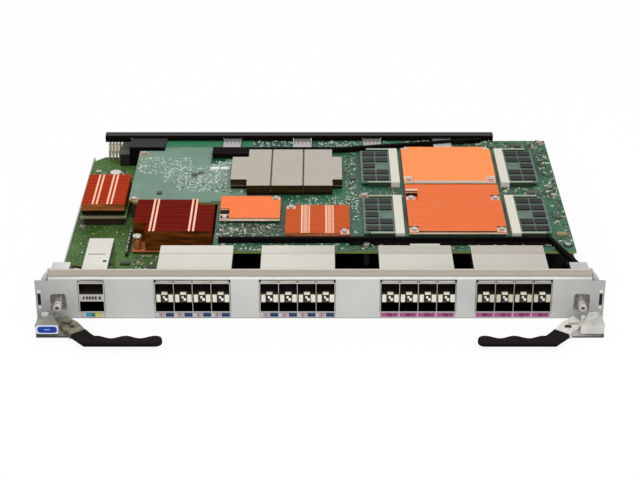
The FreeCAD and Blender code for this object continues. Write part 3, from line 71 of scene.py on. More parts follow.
# A material whose patterns are laid out in real mm on the object's own coordinates
class Finish:
    def __init__(self, name, rough=0.5, metal=0.0, specular=0.15):
        self.material = bpy.data.materials.new(name)
        self.material.use_nodes = True
        self.tree = self.material.node_tree
        self.shader = self.tree.nodes["Principled BSDF"]
        self.shader.inputs["Roughness"].default_value = rough
        self.shader.inputs["Metallic"].default_value = metal
        self.shader.inputs["Specular IOR Level"].default_value = specular
        coords = self.node("ShaderNodeTexCoord")
        scaled = {0: coords.outputs["Object"], 1: (perMetre,) * 3, 2: (0, panelY, 0)}
        self.place = self.node("ShaderNodeVectorMath", scaled, operation="MULTIPLY_ADD").outputs[0]
        split = self.node("ShaderNodeSeparateXYZ", {0: self.place})
        self.axes = [split.outputs[i] for i in range(3)]
        self.color = None

    def node(self, kind, inputs=(), **settings):
        return addNode(self.tree, kind, inputs, **settings)

    def maths(self, operation, a, b=0.0):
        return self.node("ShaderNodeMath", {0: a, 1: b}, operation=operation).outputs[0]

    def times(self, a, b):
        return self.maths("MULTIPLY", a, b)

    # Noise with a grain of so many mm, drawn out along an axis by stretch
    def noise(self, grain, detail=2.0, stretch=(1, 1, 1)):
        scaled = self.node("ShaderNodeVectorMath", {0: self.place, 1: [1 / (grain * s) for s in stretch]},
                           operation="MULTIPLY").outputs[0]
        return self.node("ShaderNodeTexNoise", {"Vector": scaled, "Scale": 1.0, "Detail": detail}).outputs[0]

    # From one value at low to another at high, straight between them
    def ramp(self, value, low, high, start=0.0, end=1.0):
        return self.node("ShaderNodeMapRange", {0: value, 1: low, 2: high, 3: start, 4: end}).outputs[0]

    def mix(self, factor, a, b):
        a = toLinear(a) if isinstance(a, str) else a
        b = toLinear(b) if isinstance(b, str) else b
        return self.node("ShaderNodeMix", {0: factor, 6: a, 7: b}, data_type="RGBA").outputs[2]

    # Soft clouds of two shades, as large as the size says
    def cloud(self, size, light, dark):
        return self.mix(self.ramp(self.noise(size, 3), 0.3, 0.7), light, dark)

    # One inside the ranges given for x, y and z, and zero outside
    def within(self, **ranges):
        mask = None
        for key, (low, high) in ranges.items():
            axis = self.axes["xyz".index(key)]
            above, below = self.maths("GREATER_THAN", axis, low), self.maths("LESS_THAN", axis, high)
            inside = self.times(above, below)
            mask = inside if mask is None else self.times(mask, inside)
        return mask

    # A shade over the colour so far, where the mask is one
    def paint(self, mask, shade, strength=1):
        if strength < 1:
            mask = self.times(mask, strength)
        self.color = self.mix(mask, self.color, shade)

    # Zones painted in turn, each with its ranges and its shade
    def zones(self, rows):
        for ranges, shade in rows:
            self.paint(self.within(**ranges), shade)

    # One nearer to a point than the radius
    def disc(self, centre, radius):
        pair = {0: self.place, 1: centre}
        away = self.node("ShaderNodeVectorMath", pair, operation="DISTANCE").outputs["Value"]
        return self.maths("LESS_THAN", away, radius)

    # One part of the direction that the surface faces
    def normal(self, axis):
        geometry = self.node("ShaderNodeNewGeometry").outputs["True Normal"]
        return self.node("ShaderNodeSeparateXYZ", {0: geometry}).outputs[axis]

    # One where the surface faces along an axis by more than the limit
    def facing(self, axis, sign, limit=0.5):
        return self.maths("GREATER_THAN", self.times(self.normal(axis), float(sign)), limit)

    # Thin lines of a pitch across an axis, as wide as the share says
    def lines(self, axis, pitch, share):
        phase = self.maths("FRACT", self.maths("DIVIDE", self.axes[axis], pitch))
        return self.maths("LESS_THAN", phase, share)

    # Each face's own colour, from the mesh
    def tint(self):
        return self.node("ShaderNodeAttribute", attribute_name="tint").outputs["Color"]

    # The colour, gloss and bump go to the shader; depth is the bump's in mm
    def finish(self, height, depth, rough=None):
        self.tree.links.new(self.color, self.shader.inputs["Base Color"])
        bump = self.node("ShaderNodeBump", {"Height": height, "Distance": depth / perMetre, "Strength": 1.0})
        self.tree.links.new(bump.outputs[0], self.shader.inputs["Normal"])
        if rough is not None:
            self.tree.links.new(rough, self.shader.inputs["Roughness"])
        return self.material


# A painted or plated sheet: soft cloudy tone, fine grain in the bump and a little change in gloss
def sheetFinish(name, light, dark, rough=0.4, metal=0.3, grain=0.35, cloudSize=60, stretch=(1, 1, 1)):
    f = Finish(name, rough, metal)
    fine = f.noise(grain, 2, stretch)
    f.color = f.mix(f.ramp(fine, 0.35, 0.75), f.cloud(cloudSize, light, dark), dark)
    gloss = f.ramp(fine, 0.3, 0.7, rough - 0.06, rough + 0.08)
    return f.finish(fine, 0.012, gloss)


# The material of the frame's own nodes of these names
def setFinish(material, *names):
    for name in names:
        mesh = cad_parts[name].data
        mesh.materials.clear()
        mesh.materials.append(material)


# An object of a mesh, a lamp or a camera, linked into the scene
def addObject(name, data):
    item = bpy.data.objects.new(name, data)
    scene.collection.objects.link(item)
    return item


# Mesh helpers: a piece from points in mm, placed in metres around the frame's origin and ridden on its body
def makePiece(name, points, faces, material, body="chassis", tints=None, smooth=False):
    mesh = bpy.data.meshes.new(name)
    points = (np.asarray(points, float) - [0, panelY, 0]) / perMetre
    mesh.from_pydata(points.tolist(), [], faces)
    if tints is not None:
        layer = mesh.color_attributes.new("tint", "FLOAT_COLOR", "CORNER")
        counts = np.array([len(f) for f in faces])
        layer.data.foreach_set("color", np.repeat(np.asarray(tints, np.float32), counts, axis=0).ravel())
    mesh.polygons.foreach_set("use_smooth", [smooth] * len(mesh.polygons))
    mesh.materials.append(material)
    mesh.update()
    piece = addObject(name, mesh)
    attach(piece, body)
    return piece


# Rows of x0, x1, y0, y1, z0, z1: each row's eight corners are its low and high values in every mix
def boxMesh(rows):
    rows = np.asarray(rows, float).reshape(-1, 6)
    pick = np.array([[x, 2 + y, 4 + z] for z in (0, 1) for y in (0, 1) for x in (0, 1)])
    points = rows[:, pick].reshape(-1, 3)
    quads = np.array([[0, 2, 3, 1], [4, 5, 7, 6], [0, 1, 5, 4], [2, 6, 7, 3], [0, 4, 6, 2], [1, 3, 7, 5]])
    faces = (quads[None] + 8 * np.arange(len(rows))[:, None, None]).reshape(-1, 4)
    return points, faces.tolist()


# A piece of boxes, with a colour for each of them or with rounded edges where these are given
def boxPiece(name, rows, material, colors=None, bevel=0.0):
    points, faces = boxMesh(rows)
    tints = None
    if colors is not None:
        tints = np.repeat(np.array([toLinear(c) for c in colors]), 6, axis=0)
    piece = makePiece(name, points, faces, material, tints=tints)
    if bevel:
        cut = piece.modifiers.new("edges", "BEVEL")
        cut.width = bevel / perMetre
        cut.segments = 2
    return piece


# The quads of a grid that closes on itself across, and the rings of points at its two ends
def tubeFaces(rows, sides):
    i, j = np.meshgrid(np.arange(rows - 1) * sides, np.arange(sides), indexing="ij")
    k = (j + 1) % sides
    quads = np.stack([i + j, i + k, i + sides + k, i + sides + j], -1).reshape(-1, 4)
    return quads.tolist(), list(range(sides)), list(range((rows - 1) * sides, rows * sides))


# A turned form about Y: the profile gives its radius at each step along Y, and a cosine waves it
def turnedMesh(profile, centre, ridges=0, ridgeDepth=0.0, steps=48, ridgeRange=(0, 0)):
    profile = np.asarray(profile, float)
    turn = np.linspace(0, 2 * np.pi, steps, endpoint=False)
    along, radius = profile[:, 0][:, None], profile[:, 1][:, None]
    ridged = (along >= ridgeRange[0]) & (along <= ridgeRange[1])
    radius = radius - ridged * ridgeDepth * (0.5 + 0.5 * np.cos(ridges * turn)[None])
    x, z = centre[0] + radius * np.cos(turn), centre[1] + radius * np.sin(turn)
    points = np.stack([x, along + 0 * turn, z], -1)
    quads, first, last = tubeFaces(len(profile), steps)
    return points.reshape(-1, 3), quads + [first, last[::-1]]


# A round wire: at each step of its centre line, a circle is swept across it on two directions
def wireMesh(line, side, up, wire, sides):
    around = np.linspace(0, 2 * np.pi, sides, endpoint=False)
    ring = np.cos(around)[None, :, None] * side[:, None] + np.sin(around)[None, :, None] * up[:, None]
    points = line[:, None] + wire * ring
    quads, first, last = tubeFaces(len(line), sides)
    return points.reshape(-1, 3), quads + [first[::-1], last]


# A helix about Y or Z: the centre line climbs evenly while it turns, and the wire's circle stands across it
def coilMesh(centre, axis, start, end, radius, wire, turns, steps=18, sides=8):
    t = np.linspace(0, 1, int(turns * steps) + 1)
    turn = 2 * np.pi * turns * t
    out = np.stack([np.cos(turn), np.sin(turn), 0 * t], -1)
    up = np.array([[0, 0, 1.0]])
    line = out * radius + (start + (end - start) * t)[:, None] * up
    points, faces = wireMesh(line, out, up, wire, sides)
    if axis == "y":
        return points[:, [0, 2, 1]] + [centre[0], 0, centre[1]], faces
    return points + [centre[0], centre[1], 0], faces


# An arch: the centre line is half an ellipse that stands on the board between its two ends
def archMesh(start, end, rise, wire, steps=24, sides=10):
    turn = np.linspace(0, np.pi, steps)
    start, end = np.array(start, float), np.array(end, float)
    middle, half = (start + end) / 2, (end - start) / 2
    line = middle - half * np.cos(turn)[:, None] + np.array([0, 0, rise]) * np.sin(turn)[:, None]
    along = np.gradient(line, axis=0)
    along /= np.linalg.norm(along, axis=1)[:, None]
    side = np.cross(along, [0, 1.0, 0.2])
    side /= np.linalg.norm(side, axis=1)[:, None]
    return wireMesh(line, side, np.cross(side, along), wire, sides)


# Several meshes as one: each one's face numbers move on by the points before it
def joinMeshes(parts):
    points, faces, offset = [], [], 0
    for p, f in parts:
        points.append(np.asarray(p, float))
        faces += [[v + offset for v in face] for face in f]
        offset += len(p)
    return np.concatenate(points), faces


# The faceplate's gasket, the tray and the brackets: weave, a painted highlight and painted shade on the
# gasket, and shades
gasketLook = dict(weaveScale=1.6, gap=0.08, threads=("#C9C0B2", "#BCB2A3"), gapColor="#AAA092",
                  zones=[(dict(y=(5.6, 12)), "#D2CEC4"), (dict(z=(30, 36.3)), "#9C9486")])
gasket = Finish("conductive_fabric_gasket", 0.75, 0.1)
spread = {0: gasket.place, 1: (gasketLook["weaveScale"],) * 3}
weave = gasket.node("ShaderNodeTexBrick", {
    "Vector": gasket.node("ShaderNodeVectorMath", spread, operation="MULTIPLY").outputs[0],
    "Scale": 1.0, "Mortar Size": gasketLook["gap"], "Mortar": toLinear(gasketLook["gapColor"]),
    "Color1": toLinear(gasketLook["threads"][0]), "Color2": toLinear(gasketLook["threads"][1])}, offset=0.5)
gasket.color = weave.outputs["Color"]
# Painted highlight on the gasket's top from y 5.6 to 12, and painted shade lower down, from z 30 to 36.3
gasket.zones(gasketLook["zones"])
setFinish(gasket.finish(weave.outputs["Fac"], 0.05), "top_gasket")

setFinish(sheetFinish("zinc_plated_tray", "#A9ABA9", "#8F918F", 0.38, 0.7, 0.6, 40, (6, 1, 1)), "base_tray")
bracketLook = dict(shades=("#C9C9C6", "#A8A8A5"), recess=dict(y=(1.4, 12), z=(5, 24)), recessOuter=207.6,
                   slot=dict(y=(1.4, 2), z=(11, 22)), slotInner=212.2)
bracket = Finish("brushed_bracket_steel", 0.38, 0.35)
grain = bracket.noise(0.4, 2, (1, 1, 5))
bracket.color = bracket.cloud(30, *bracketLook["shades"])
outward = bracket.maths("ABSOLUTE", bracket.axes[0])
inner = bracket.maths("LESS_THAN", outward, bracketLook["recessOuter"])
# Painted light: the window recess is painted a lighter brownish tone to offset the shade in it
bracket.paint(bracket.times(inner, bracket.within(**bracketLook["recess"])), "#D9CCBF")
# Painted shade: a dark slot painted on the bracket's outer end, as the shade inside the opening
outer = bracket.maths("GREATER_THAN", outward, bracketLook["slotInner"])
bracket.paint(bracket.times(outer, bracket.within(**bracketLook["slot"])), "#2C2A27")
setFinish(bracket.finish(grain, 0.012), "left_end_bracket", "right_end_bracket")
setFinish(sheetFinish("turned_steel", "#D4D3CF", "#A3A29E", 0.28, 0.8, 0.3, 8, (1, 6, 1)),
          "board_screws", "left_screw_washer", "right_screw_washer")
setFinish(sheetFinish("polished_rivet_steel", "#EFEEEA", "#CFCDC8", 0.2, 0.4, 0.3, 2),
          "panel_rivets", "pivot_pins")
setFinish(sheetFinish("dark_standoffs", "#6F6A55", "#4A4638", 0.4, 0.6, 0.4, 12), "board_standoffs")
print("sheet metal done")

# Circuit boards: their upper faces, tones, tracks, round vias, painted zones, a painted shadow strip, painted
# shade under the cages and the rings around the screws
lowerTop, upperTop = 5.4, 22.0
boardLook = dict(
    upper=("#286548", "#123F2B"), lower=("#4E7436", "#33501F"), mint=("#7C9787", "#6B8A79"),
    mintZones=[dict(x=(-170, -92), y=(150, 276)), dict(x=(-95, -62), y=(163, 250))], mintStrength=0.75,
    upperZones=[(dict(x=(-145, -60), y=(276.5, 292)), "#1F6B47"),
                (dict(x=(-97, -84), y=(240, 252.5)), "#12492F")],
    upperEdge="#8C9A55", stripShadow=(dict(x=(-82, 186), y=(86.6, 92.4)), 0.9, "#0B100C"),
    # Painted shade: near black on the lower board under and between the cages
    lowerEdge="#B9C7B4", shadeUnderCages=[(dict(x=(-72, 210), y=(-2, 120)), "#030403")],
    plugInEdge=[(dict(x=(-206, -160), y=(147, 153), z=(11.4, 13.4)), "#807C5E")],
    trackPitch=2.1, trackGrain=14, trackBend=38, trackWidth=0.22, trackStrength=0.28,
    viaScale=0.42, viaRadius=0.19, viaStrength=0.55, viaColor="#C5C9A8")
boardRings = dict(radius=4.3, bare="#B98F63", shaded="#0C100C", shadedBelow=100, places=[
    (199, 80), (37.5, 80), (199, 173.5), (199, 286), (37.5, 173.5), (-157.5, 166.5), (-157.5, 262)])


def boardFinish(name, tones, upper):
    look = boardLook
    f = Finish(name, 0.4, 0.0, 0.2 if upper else 0.07)
    broad = f.ramp(f.noise(45, 3), 0.35, 0.65)
    f.color = f.mix(broad, tones[0], tones[1])
    # Tracks: the sine of x, turned by a large noise, drawn thin around its zeros
    bend = f.times(f.noise(look["trackGrain"], 1), look["trackBend"])
    wave = f.maths("SINE", f.maths("ADD", f.times(f.axes[0], look["trackPitch"]), bend))
    tracks = f.ramp(f.maths("ABSOLUTE", wave), 0.0, look["trackWidth"])
    drawn = f.maths("SUBTRACT", 1.0, tracks)
    f.paint(drawn, "#8FB59A" if upper else "#8FA07A", look["trackStrength"])
    cells = f.node("ShaderNodeTexVoronoi", {"Vector": f.place, "Scale": look["viaScale"]}, feature="F1")
    dots = f.maths("LESS_THAN", cells.outputs["Distance"], look["viaRadius"])
    f.paint(dots, look["viaColor"], look["viaStrength"])
    if upper:
        first, second = [f.within(**zone) for zone in look["mintZones"]]
        mint = f.maths("MAXIMUM", first, second)
        f.paint(mint, f.mix(broad, *look["mint"]), look["mintStrength"])
        f.zones(look["upperZones"])
        f.paint(f.facing(1, -1), look["upperEdge"])
        zone, strength, shade = look["stripShadow"]
        f.paint(f.within(**zone), shade, strength)
        for x, y in boardRings["places"]:
            ring = f.disc((x, y, upperTop), boardRings["radius"])
            f.paint(ring, boardRings["shaded" if y < boardRings["shadedBelow"] else "bare"])
    else:
        # Painted shade under and between the cages
        f.zones(look["shadeUnderCages"])
        f.paint(f.facing(0, -1), look["lowerEdge"])
        f.zones(look["plugInEdge"])
    height = f.maths("ADD", f.times(tracks, 0.3), f.times(dots, 0.5))
    return f.finish(height, 0.05)


setFinish(boardFinish("upper_solder_mask", boardLook["upper"], True), "upper_board")
setFinish(boardFinish("lower_solder_mask", boardLook["lower"], False), "lower_board", "plug_in_board")
small = Finish("small_component_bodies", 0.45, 0.0)
grain = small.noise(0.4, 2)
small.color = small.tint()
small.paint(grain, "#9AA39A", 0.3)
partMaterial = small.finish(grain, 0.02)

# Rectangles on the boards that small parts keep a margin from, and how far the parts' feet are sunk
occupied = np.array([
    [-154, -86.5, 95, 161], [-64, 12, 173, 253], [-78, 21, 185, 237], [-85, -31, 119, 165],
    [-30, 26, 91, 148], [71, 153, 192, 268], [71, 153, 94, 189], [33, 70, 91, 167], [33, 70, 189, 265],
    [154, 192, 91, 167], [154, 192, 189, 265], [-84, 188, 82, 88.5], [-98, -62, 250, 268],
    [-204, -160, 148, 214]])
margin, sunk = 1, 0.02


# Seeded places in a rectangle, less those within a margin of what is occupied
def scatter(rng, x, y, count):
    spots = np.stack([rng.uniform(*x, count), rng.uniform(*y, count)], -1)
    low, high = occupied[:, [0, 2]] - margin, occupied[:, [1, 3]] + margin
    inside = ((spots[:, None] > low) & (spots[:, None] < high)).all(-1)
    return spots[~inside.any(1)]


# Fields of soldered parts: x and y ranges, count, length range, height range and colours
pale = ["#BCCBC0", "#A7B9AD", "#C9D2C6", "#8FA396"]
mixed = ["#A9AE9C", "#8C7A4A", "#1E211E", "#5E6E5E", "#C9C6B4", "#2E3A30", "#3F5A48"]
fieldsUpper = [
    ((-160, -114), (218, 254), 210, (1.2, 2.6), (0.3, 0.6), pale),
    ((-136, -86), (198, 233), 250, (1.2, 2.4), (0.3, 0.6), pale),
    ((-124, -62), (180, 214), 330, (1.2, 2.4), (0.3, 0.6), pale + ["#2E3A33"]),
    ((-95, -68), (206, 246), 170, (1.2, 2.6), (0.3, 0.6), pale),
    ((-84, -32), (90, 119), 300, (1.0, 3.0), (0.4, 1.0), mixed),
    ((22, 33), (96, 262), 190, (1.0, 2.6), (0.4, 0.9), pale + mixed),
    ((-28, 33), (148, 172), 110, (1.0, 2.2), (0.3, 0.7), pale),
    ((34, 71), (168, 189), 70, (1.0, 2.4), (0.3, 0.7), mixed),
    ((154, 203), (166, 190), 130, (1.0, 3.0), (0.4, 1.2), mixed),
    ((191, 203), (84, 288), 230, (1.0, 2.8), (0.4, 1.2), mixed),
    ((72, 200), (269, 290), 240, (1.0, 2.8), (0.4, 1.2), mixed),
    ((-60, 70), (270, 290), 160, (1.0, 2.4), (0.3, 0.8), pale),
    ((-80, 190), (71, 82), 260, (1.0, 3.0), (0.4, 1.0), mixed)]
fieldsLower = [
    ((-150, -92), (64, 94), 170, (1.2, 3.0), (0.5, 1.2), mixed),
    ((-150, -130), (14, 64), 50, (1.2, 2.6), (0.5, 1.0), mixed),
    ((-200, -158), (90, 146), 40, (1.0, 2.2), (0.3, 0.7), mixed),
    ((-200, -166), (216, 262), 90, (1.0, 2.6), (0.4, 1.2), mixed),
    ((-200, -186), (30, 90), 26, (1.0, 2.2), (0.3, 0.7), mixed)]


# The boxes of the parts in each field: length, width as a share of it, turn by half a chance, and height
def partRows(fields, level, seed):
    rng = np.random.default_rng(seed)
    rows, colors = [], []
    for xRange, yRange, count, size, riseRange, shades in fields:
        spots = scatter(rng, xRange, yRange, count)
        count = len(spots)
        long = rng.uniform(*size, count)
        wide = long * rng.uniform(0.4, 0.6, count)
        swap = rng.random(count) < 0.5
        sx, sy = np.where(swap, wide, long) / 2, np.where(swap, long, wide) / 2
        rise = rng.uniform(*riseRange, count)
        x, y = spots.T
        foot = np.full(count, level - sunk)
        rows.append(np.stack([x - sx, x + sx, y - sy, y + sy, foot, level + rise], -1))
        colors += [shades[i] for i in rng.integers(0, len(shades), count)]
    return np.concatenate(rows), colors


rows, colors = partRows(fieldsUpper, upperTop, seed=11)
boxPiece("upper_board_parts", rows, partMaterial, colors=colors)
rows, colors = partRows(fieldsLower, lowerTop, seed=12)
boxPiece("lower_board_parts", rows, partMaterial, colors=colors)

# Larger packages and sockets that the photo shows one by one: x and y ranges, rise and colour
lowerPackages = [
    (-161, -153, 77, 81.5, 1.8, "#1B1D1C"), (-139, -129, 69.5, 73.5, 1.8, "#20231F"),
    (-201, -196.5, 58, 64, 5.5, "#16120F"), (-195.5, -192.5, 60, 63, 5, "#D5CFC2")]
upperPackages = [
    (-96.5, -88.5, 226.5, 231, 1.2, "#E6EAE2"), (-87.5, -79.5, 226.5, 231, 1.2, "#E6EAE2"),
    (-139, -135, 176, 180, 1.4, "#1D2420"), (-112, -107, 213, 217.5, 1.2, "#2A332D"),
    (-106, -102, 217, 221, 1.2, "#333B34"), (172, 181, 276, 283, 1.4, "#232725"),
    (160, 167, 172, 178, 1.4, "#1E2220"), (176, 186, 176, 182, 1.4, "#3A3D36"),
    (193, 199, 128, 134, 1.6, "#2B2F2B"), (192, 200, 96, 101, 2.0, "#8B7B4C"),
    (26, 31, 205, 211, 1.4, "#26302A"), (72, 96, 76.5, 80, 1.6, "#C9CDBB")]
rows, colors = [], []
for level, packages in ((lowerTop, lowerPackages), (upperTop, upperPackages)):
    for *plan, rise, shade in packages:
        rows.append((*plan, level, level + rise))
        colors.append(shade)
boxPiece("chip_bodies", rows, partMaterial, colors=colors, bevel=0.2)

jumper = dict(start=(-202, 66, lowerTop), end=(-187, 63, lowerTop), rise=5.5, wire=0.9)
wireFinish = sheetFinish("dark_red_wire", "#5E1F18", "#3F120E", 0.45, 0.0, 0.5, 6)
makePiece("jumper_wire", *archMesh(**jumper), wireFinish, smooth=True)
print("boards done")

# Heat sinks: thin fins over a base plate, each fin's ends moved in where a notch lies, and gaps cut by slots
basePlate, slotHalf = 1.3, 0.35


def finRows(box, pitch, thick, notches=(), slots=()):
    x0, x1, y0, y1, z0, z1 = box
    starts = np.arange(y0, y1 - thick + 0.01, pitch)
    low, high = np.full(len(starts), float(x0)), np.full(len(starts), float(x1))
    for nx0, nx1, ny0, ny1 in notches:
        hit = (starts + thick > ny0) & (starts < ny1)
        if nx0 <= x0:
            low = np.where(hit, np.maximum(low, nx1), low)
        else:
            high = np.where(hit, np.minimum(high, nx0), high)
    foot, top = np.full(len(starts), z0 + basePlate), np.full(len(starts), float(z1))
    rows = []
    left = low
    for slot in sorted(slots) + [None]:
        right = high if slot is None else np.minimum(high, np.maximum(low, slot - slotHalf))
        rows.append(np.stack([left, right, starts, starts + thick, foot, top], -1))
        left = None if slot is None else np.minimum(high, np.maximum(low, slot + slotHalf))
    rows = np.concatenate(rows)
    return rows[rows[:, 1] - rows[:, 0] > 0.2]


finLook = dict(
    gapShare=0.42, darkStrength=0.6, stripeColor="#F7BFA2", beadedColor="#DE8F66", beadEdges=(1.1, 0.7),
    beadInset=2.4, beadStrength=0.4, beadLines=(3.0, 0.6), beadColor="#FFF3EA", seamHalf=0.9,
    seamLines=(3.0, 0.55), seamColor="#4A443A")


# Anodised fins: drawn grain along x, darker gaps painted as shade between the fins, print stripes or beads,
# dashed seams, and a front whose colour holds painted light and shade
def sinkFinish(name, sink):
    look = finLook
    f = Finish(name, 0.5, 0.0, 0.02)
    drawn = f.noise(1.6, 2, (60, 1, 1))
    f.color = sink["light"]
    f.paint(f.ramp(drawn, 0.25, 0.75), sink["dark"], look["darkStrength"])
    # Painted shade: darker lines across the fins, as the shade in the gaps between them
    f.paint(f.lines(1, sink["pitch"] * 2, look["gapShare"]), sink["dark"], look["darkStrength"])
    beaded = sink.get("beaded", False)
    (first, last), inset, half = look["beadEdges"], look["beadInset"], look["seamHalf"]
    for low, high in sink.get("stripes", ()):
        f.paint(f.within(x=(low, high)), look["beadedColor" if beaded else "stripeColor"])
        if beaded:
            edges = f.maths("MAXIMUM", f.within(x=(low, low + first)), f.within(x=(high - last, high)))
            middle = f.times(f.within(x=(low + inset, high - inset)), look["beadStrength"])
            beads = f.times(f.maths("MAXIMUM", edges, middle), f.lines(1, *look["beadLines"]))
            f.paint(beads, look["beadColor"])
    for seam in sink.get("slots", ()):
        dashes = f.times(f.within(x=(seam - half, seam + half)), f.lines(1, *look["seamLines"]))
        f.paint(dashes, look["seamColor"])
    # The front faces: the front's own tone, brightened as painted light on the pale fronts and darkened as
    # painted shade on the dark ones
    front = f.mix(f.ramp(f.noise(3, 2, (6, 1, 1)), 0.3, 0.7), *sink["front"])
    f.paint(f.facing(1, -1), front)
    # Bands by height: painted shade low on the left and silver sinks, the tall sink's copper base, and darker
    # lines on the small and front sinks
    for low, high, shade in sink.get("toneAndShadeBands", ()):
        f.paint(f.within(z=(low, high)), shade)
    return f.finish(drawn, 0.03)


# Box, fins, notches and stripes of each sink; plans are its base plates, under is a block below them, and the
# bands are painted by height: painted shade on the left and silver sinks, the copper base on the tall one,
# darker lines on the small and front ones
sinks = {
    "left_heat_sink": dict(
        box=(-200.4, -164.4, 151.5, 211.5, 15.2, 24.6), pitch=3.2, thick=2.3, toneAndShadeBands=[(15.0, 18.6, "#15100C")],
        light="#BE3310", dark="#A02508", front=("#B0683A", "#6A3A1C"),
        stripes=[(-191.8, -190.2), (-188.4, -186.8), (-179.6, -178), (-176.2, -174.6)]),
    "tall_heat_sink": dict(
        box=(-153, -87.6, 96.6, 158, 7.4, 26.5), pitch=3.2, thick=2.3, toneAndShadeBands=[(7.3, 8.8, "#C9794A")],
        notches=[(-155, -142, 96, 111.1), (-101.8, -86, 150, 160)],
        plans=[(-153, -101.8, 96.6, 158), (-101.8, -87.6, 96.6, 150)],
        light="#800A02", dark="#620400", front=("#7A4216", "#3A1B0A"),
        stripes=[(-139.2, -137.5), (-136, -134.3), (-107.2, -105.5), (-103.8, -102.1)]),
    "silver_heat_sink": dict(
        box=(-76.7, 19, 174.8, 251.7, 24, 31), pitch=1.25, thick=1.1, toneAndShadeBands=[(22, 24, "#19140A")],
        notches=[(-80, -62.6, 170, 187), (-80, -62.6, 235, 255), (10.6, 22, 170, 187), (10.6, 22, 235, 255)],
        plans=[(-62.6, 10.6, 174.8, 251.7), (-76.7, -62.6, 187, 235), (10.6, 19, 187, 235)],
        under=[(-62.4, 10.4, 175, 251.5), (-76.5, 18.8, 187.2, 234.8)], underFoot=22.05,
        slots=[-42, -14.4], light="#C2BBB0", dark="#B3ACA0", front=("#3A3016", "#1F190B")),
    "small_heat_sink": dict(
        box=(-83, -33, 120.5, 163.5, 24, 27), pitch=1.5, thick=1.25, toneAndShadeBands=[(25.9, 26.8, "#B4571F")],
        notches=[(-84, -75, 120, 138.5), (-41, -32, 155.5, 165)],
        light="#FB7A38", dark="#EE6A2C", front=("#FFEBD6", "#FAD0AC")),
    "striped_heat_sink": dict(
        box=(-28.2, 24.2, 92.5, 146, 24, 27), pitch=1.5, thick=1.25,
        notches=[(-30, -20.2, 138, 148), (16.2, 26, 90, 100.5)],
        light="#CF5C2C", dark="#B54A20", front=("#D98A5C", "#A5552E"),
        stripes=[(-15.5, -8.4), (4.4, 11.2)], beaded=True),
    "rear_heat_sink": dict(
        box=(72.4, 151.8, 194, 266, 24, 27), pitch=1.5, thick=1.3,
        notches=[(70, 80.4, 193, 202), (143.8, 154, 193, 202), (70, 77, 260, 268), (147, 154, 260, 268)],
        light="#FF9250", dark="#F8833F", front=("#FFF1DE", "#FBE0C4")),
    "front_heat_sink": dict(
        box=(72.4, 151.8, 96, 187, 24, 27), pitch=1.5, thick=1.3, toneAndShadeBands=[(25.7, 26.8, "#4A1C0C")],
        notches=[(70, 80.4, 95, 104), (143.8, 154, 95, 104), (70, 82.6, 155.5, 172),
                 (143.8, 154, 155.5, 164)],
        light="#EC7034", dark="#DB5F28", front=("#FFE6CE", "#F0BE98"))}
for name, sink in sinks.items():
    x0, x1, y0, y1, z0, z1 = sink["box"]
    fins = finRows(sink["box"], sink["pitch"], sink["thick"], sink.get("notches", ()), sink.get("slots", ()))
    solid = [plan + (z0, z0 + basePlate) for plan in sink.get("plans", [(x0, x1, y0, y1)])]
    solid += [plan + (sink["underFoot"], z0) for plan in sink.get("under", ())]
    if not sink.get("beaded", False):
        solid += [(low, high, y0 + 0.2, y1 - 0.2, z0 + 1, z1 + 0.02) for low, high in sink.get("stripes", ())]
    rows = np.concatenate([fins, np.array(solid, float)])
    piece = boxPiece(name + "_fins", rows, sinkFinish(name + "_anodised", sink))
    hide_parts(name)
print("heat sinks done")

# Ports: the groups' centres across the panel, a column's pitch and wall, half of a group and of a wide port
portGroups = [-97.05, -17.2, 74.7, 147.45]
portPitch, wallThick, groupHalf, wideCentre, wideHalf = 14.25, 0.5, 28.75, -173.9, 9.2
# Each cage's tones, a dark line of painted shade along its crease, and a dark disc of painted shade at the
# wide cage's hole
cageLooks = {
    "passivated_cage_steel": dict(
        light="#D4D1C8", dark="#C6C2B8", centres=portGroups, half=groupHalf, crease=49.0,
        creaseSpan=(-300, 300), creaseWidth=0.6, creaseShadeColor="#77746C"),
    "pale_wide_cage": dict(
        light="#DDDBD3", dark="#CDCAC1", centres=[wideCentre], half=9.7, crease=47.3,
        creaseSpan=(-181.5, -168), creaseWidth=1.2, creaseShadeColor="#45423C",
        hole=(-167.3, 36, 30.6), holeRadius=1.7)}
# Shared cage settings: painted shade to the right and over the rear part, and painted near-black shade inside
# the ports
cageSteel = dict(
    rightwardShade=(-20, 190), rightwardShadeColor="#A5A097", rightwardShadeStrength=0.6, rearShadeRamp=(-60, 60), rearShadeColor="#9E978C",
    rearShadeStrength=0.5, rearEnd=80, top=(30.5, 31), sideColor="#8F8E86", wall=0.3, insideY=(0.1, 80),
    insideZ=(5.7, 30.4), rearWall=(50, 80), insideShadeColor="#050403", sideMetal=0.9, gloss=(0.45, 0.16))


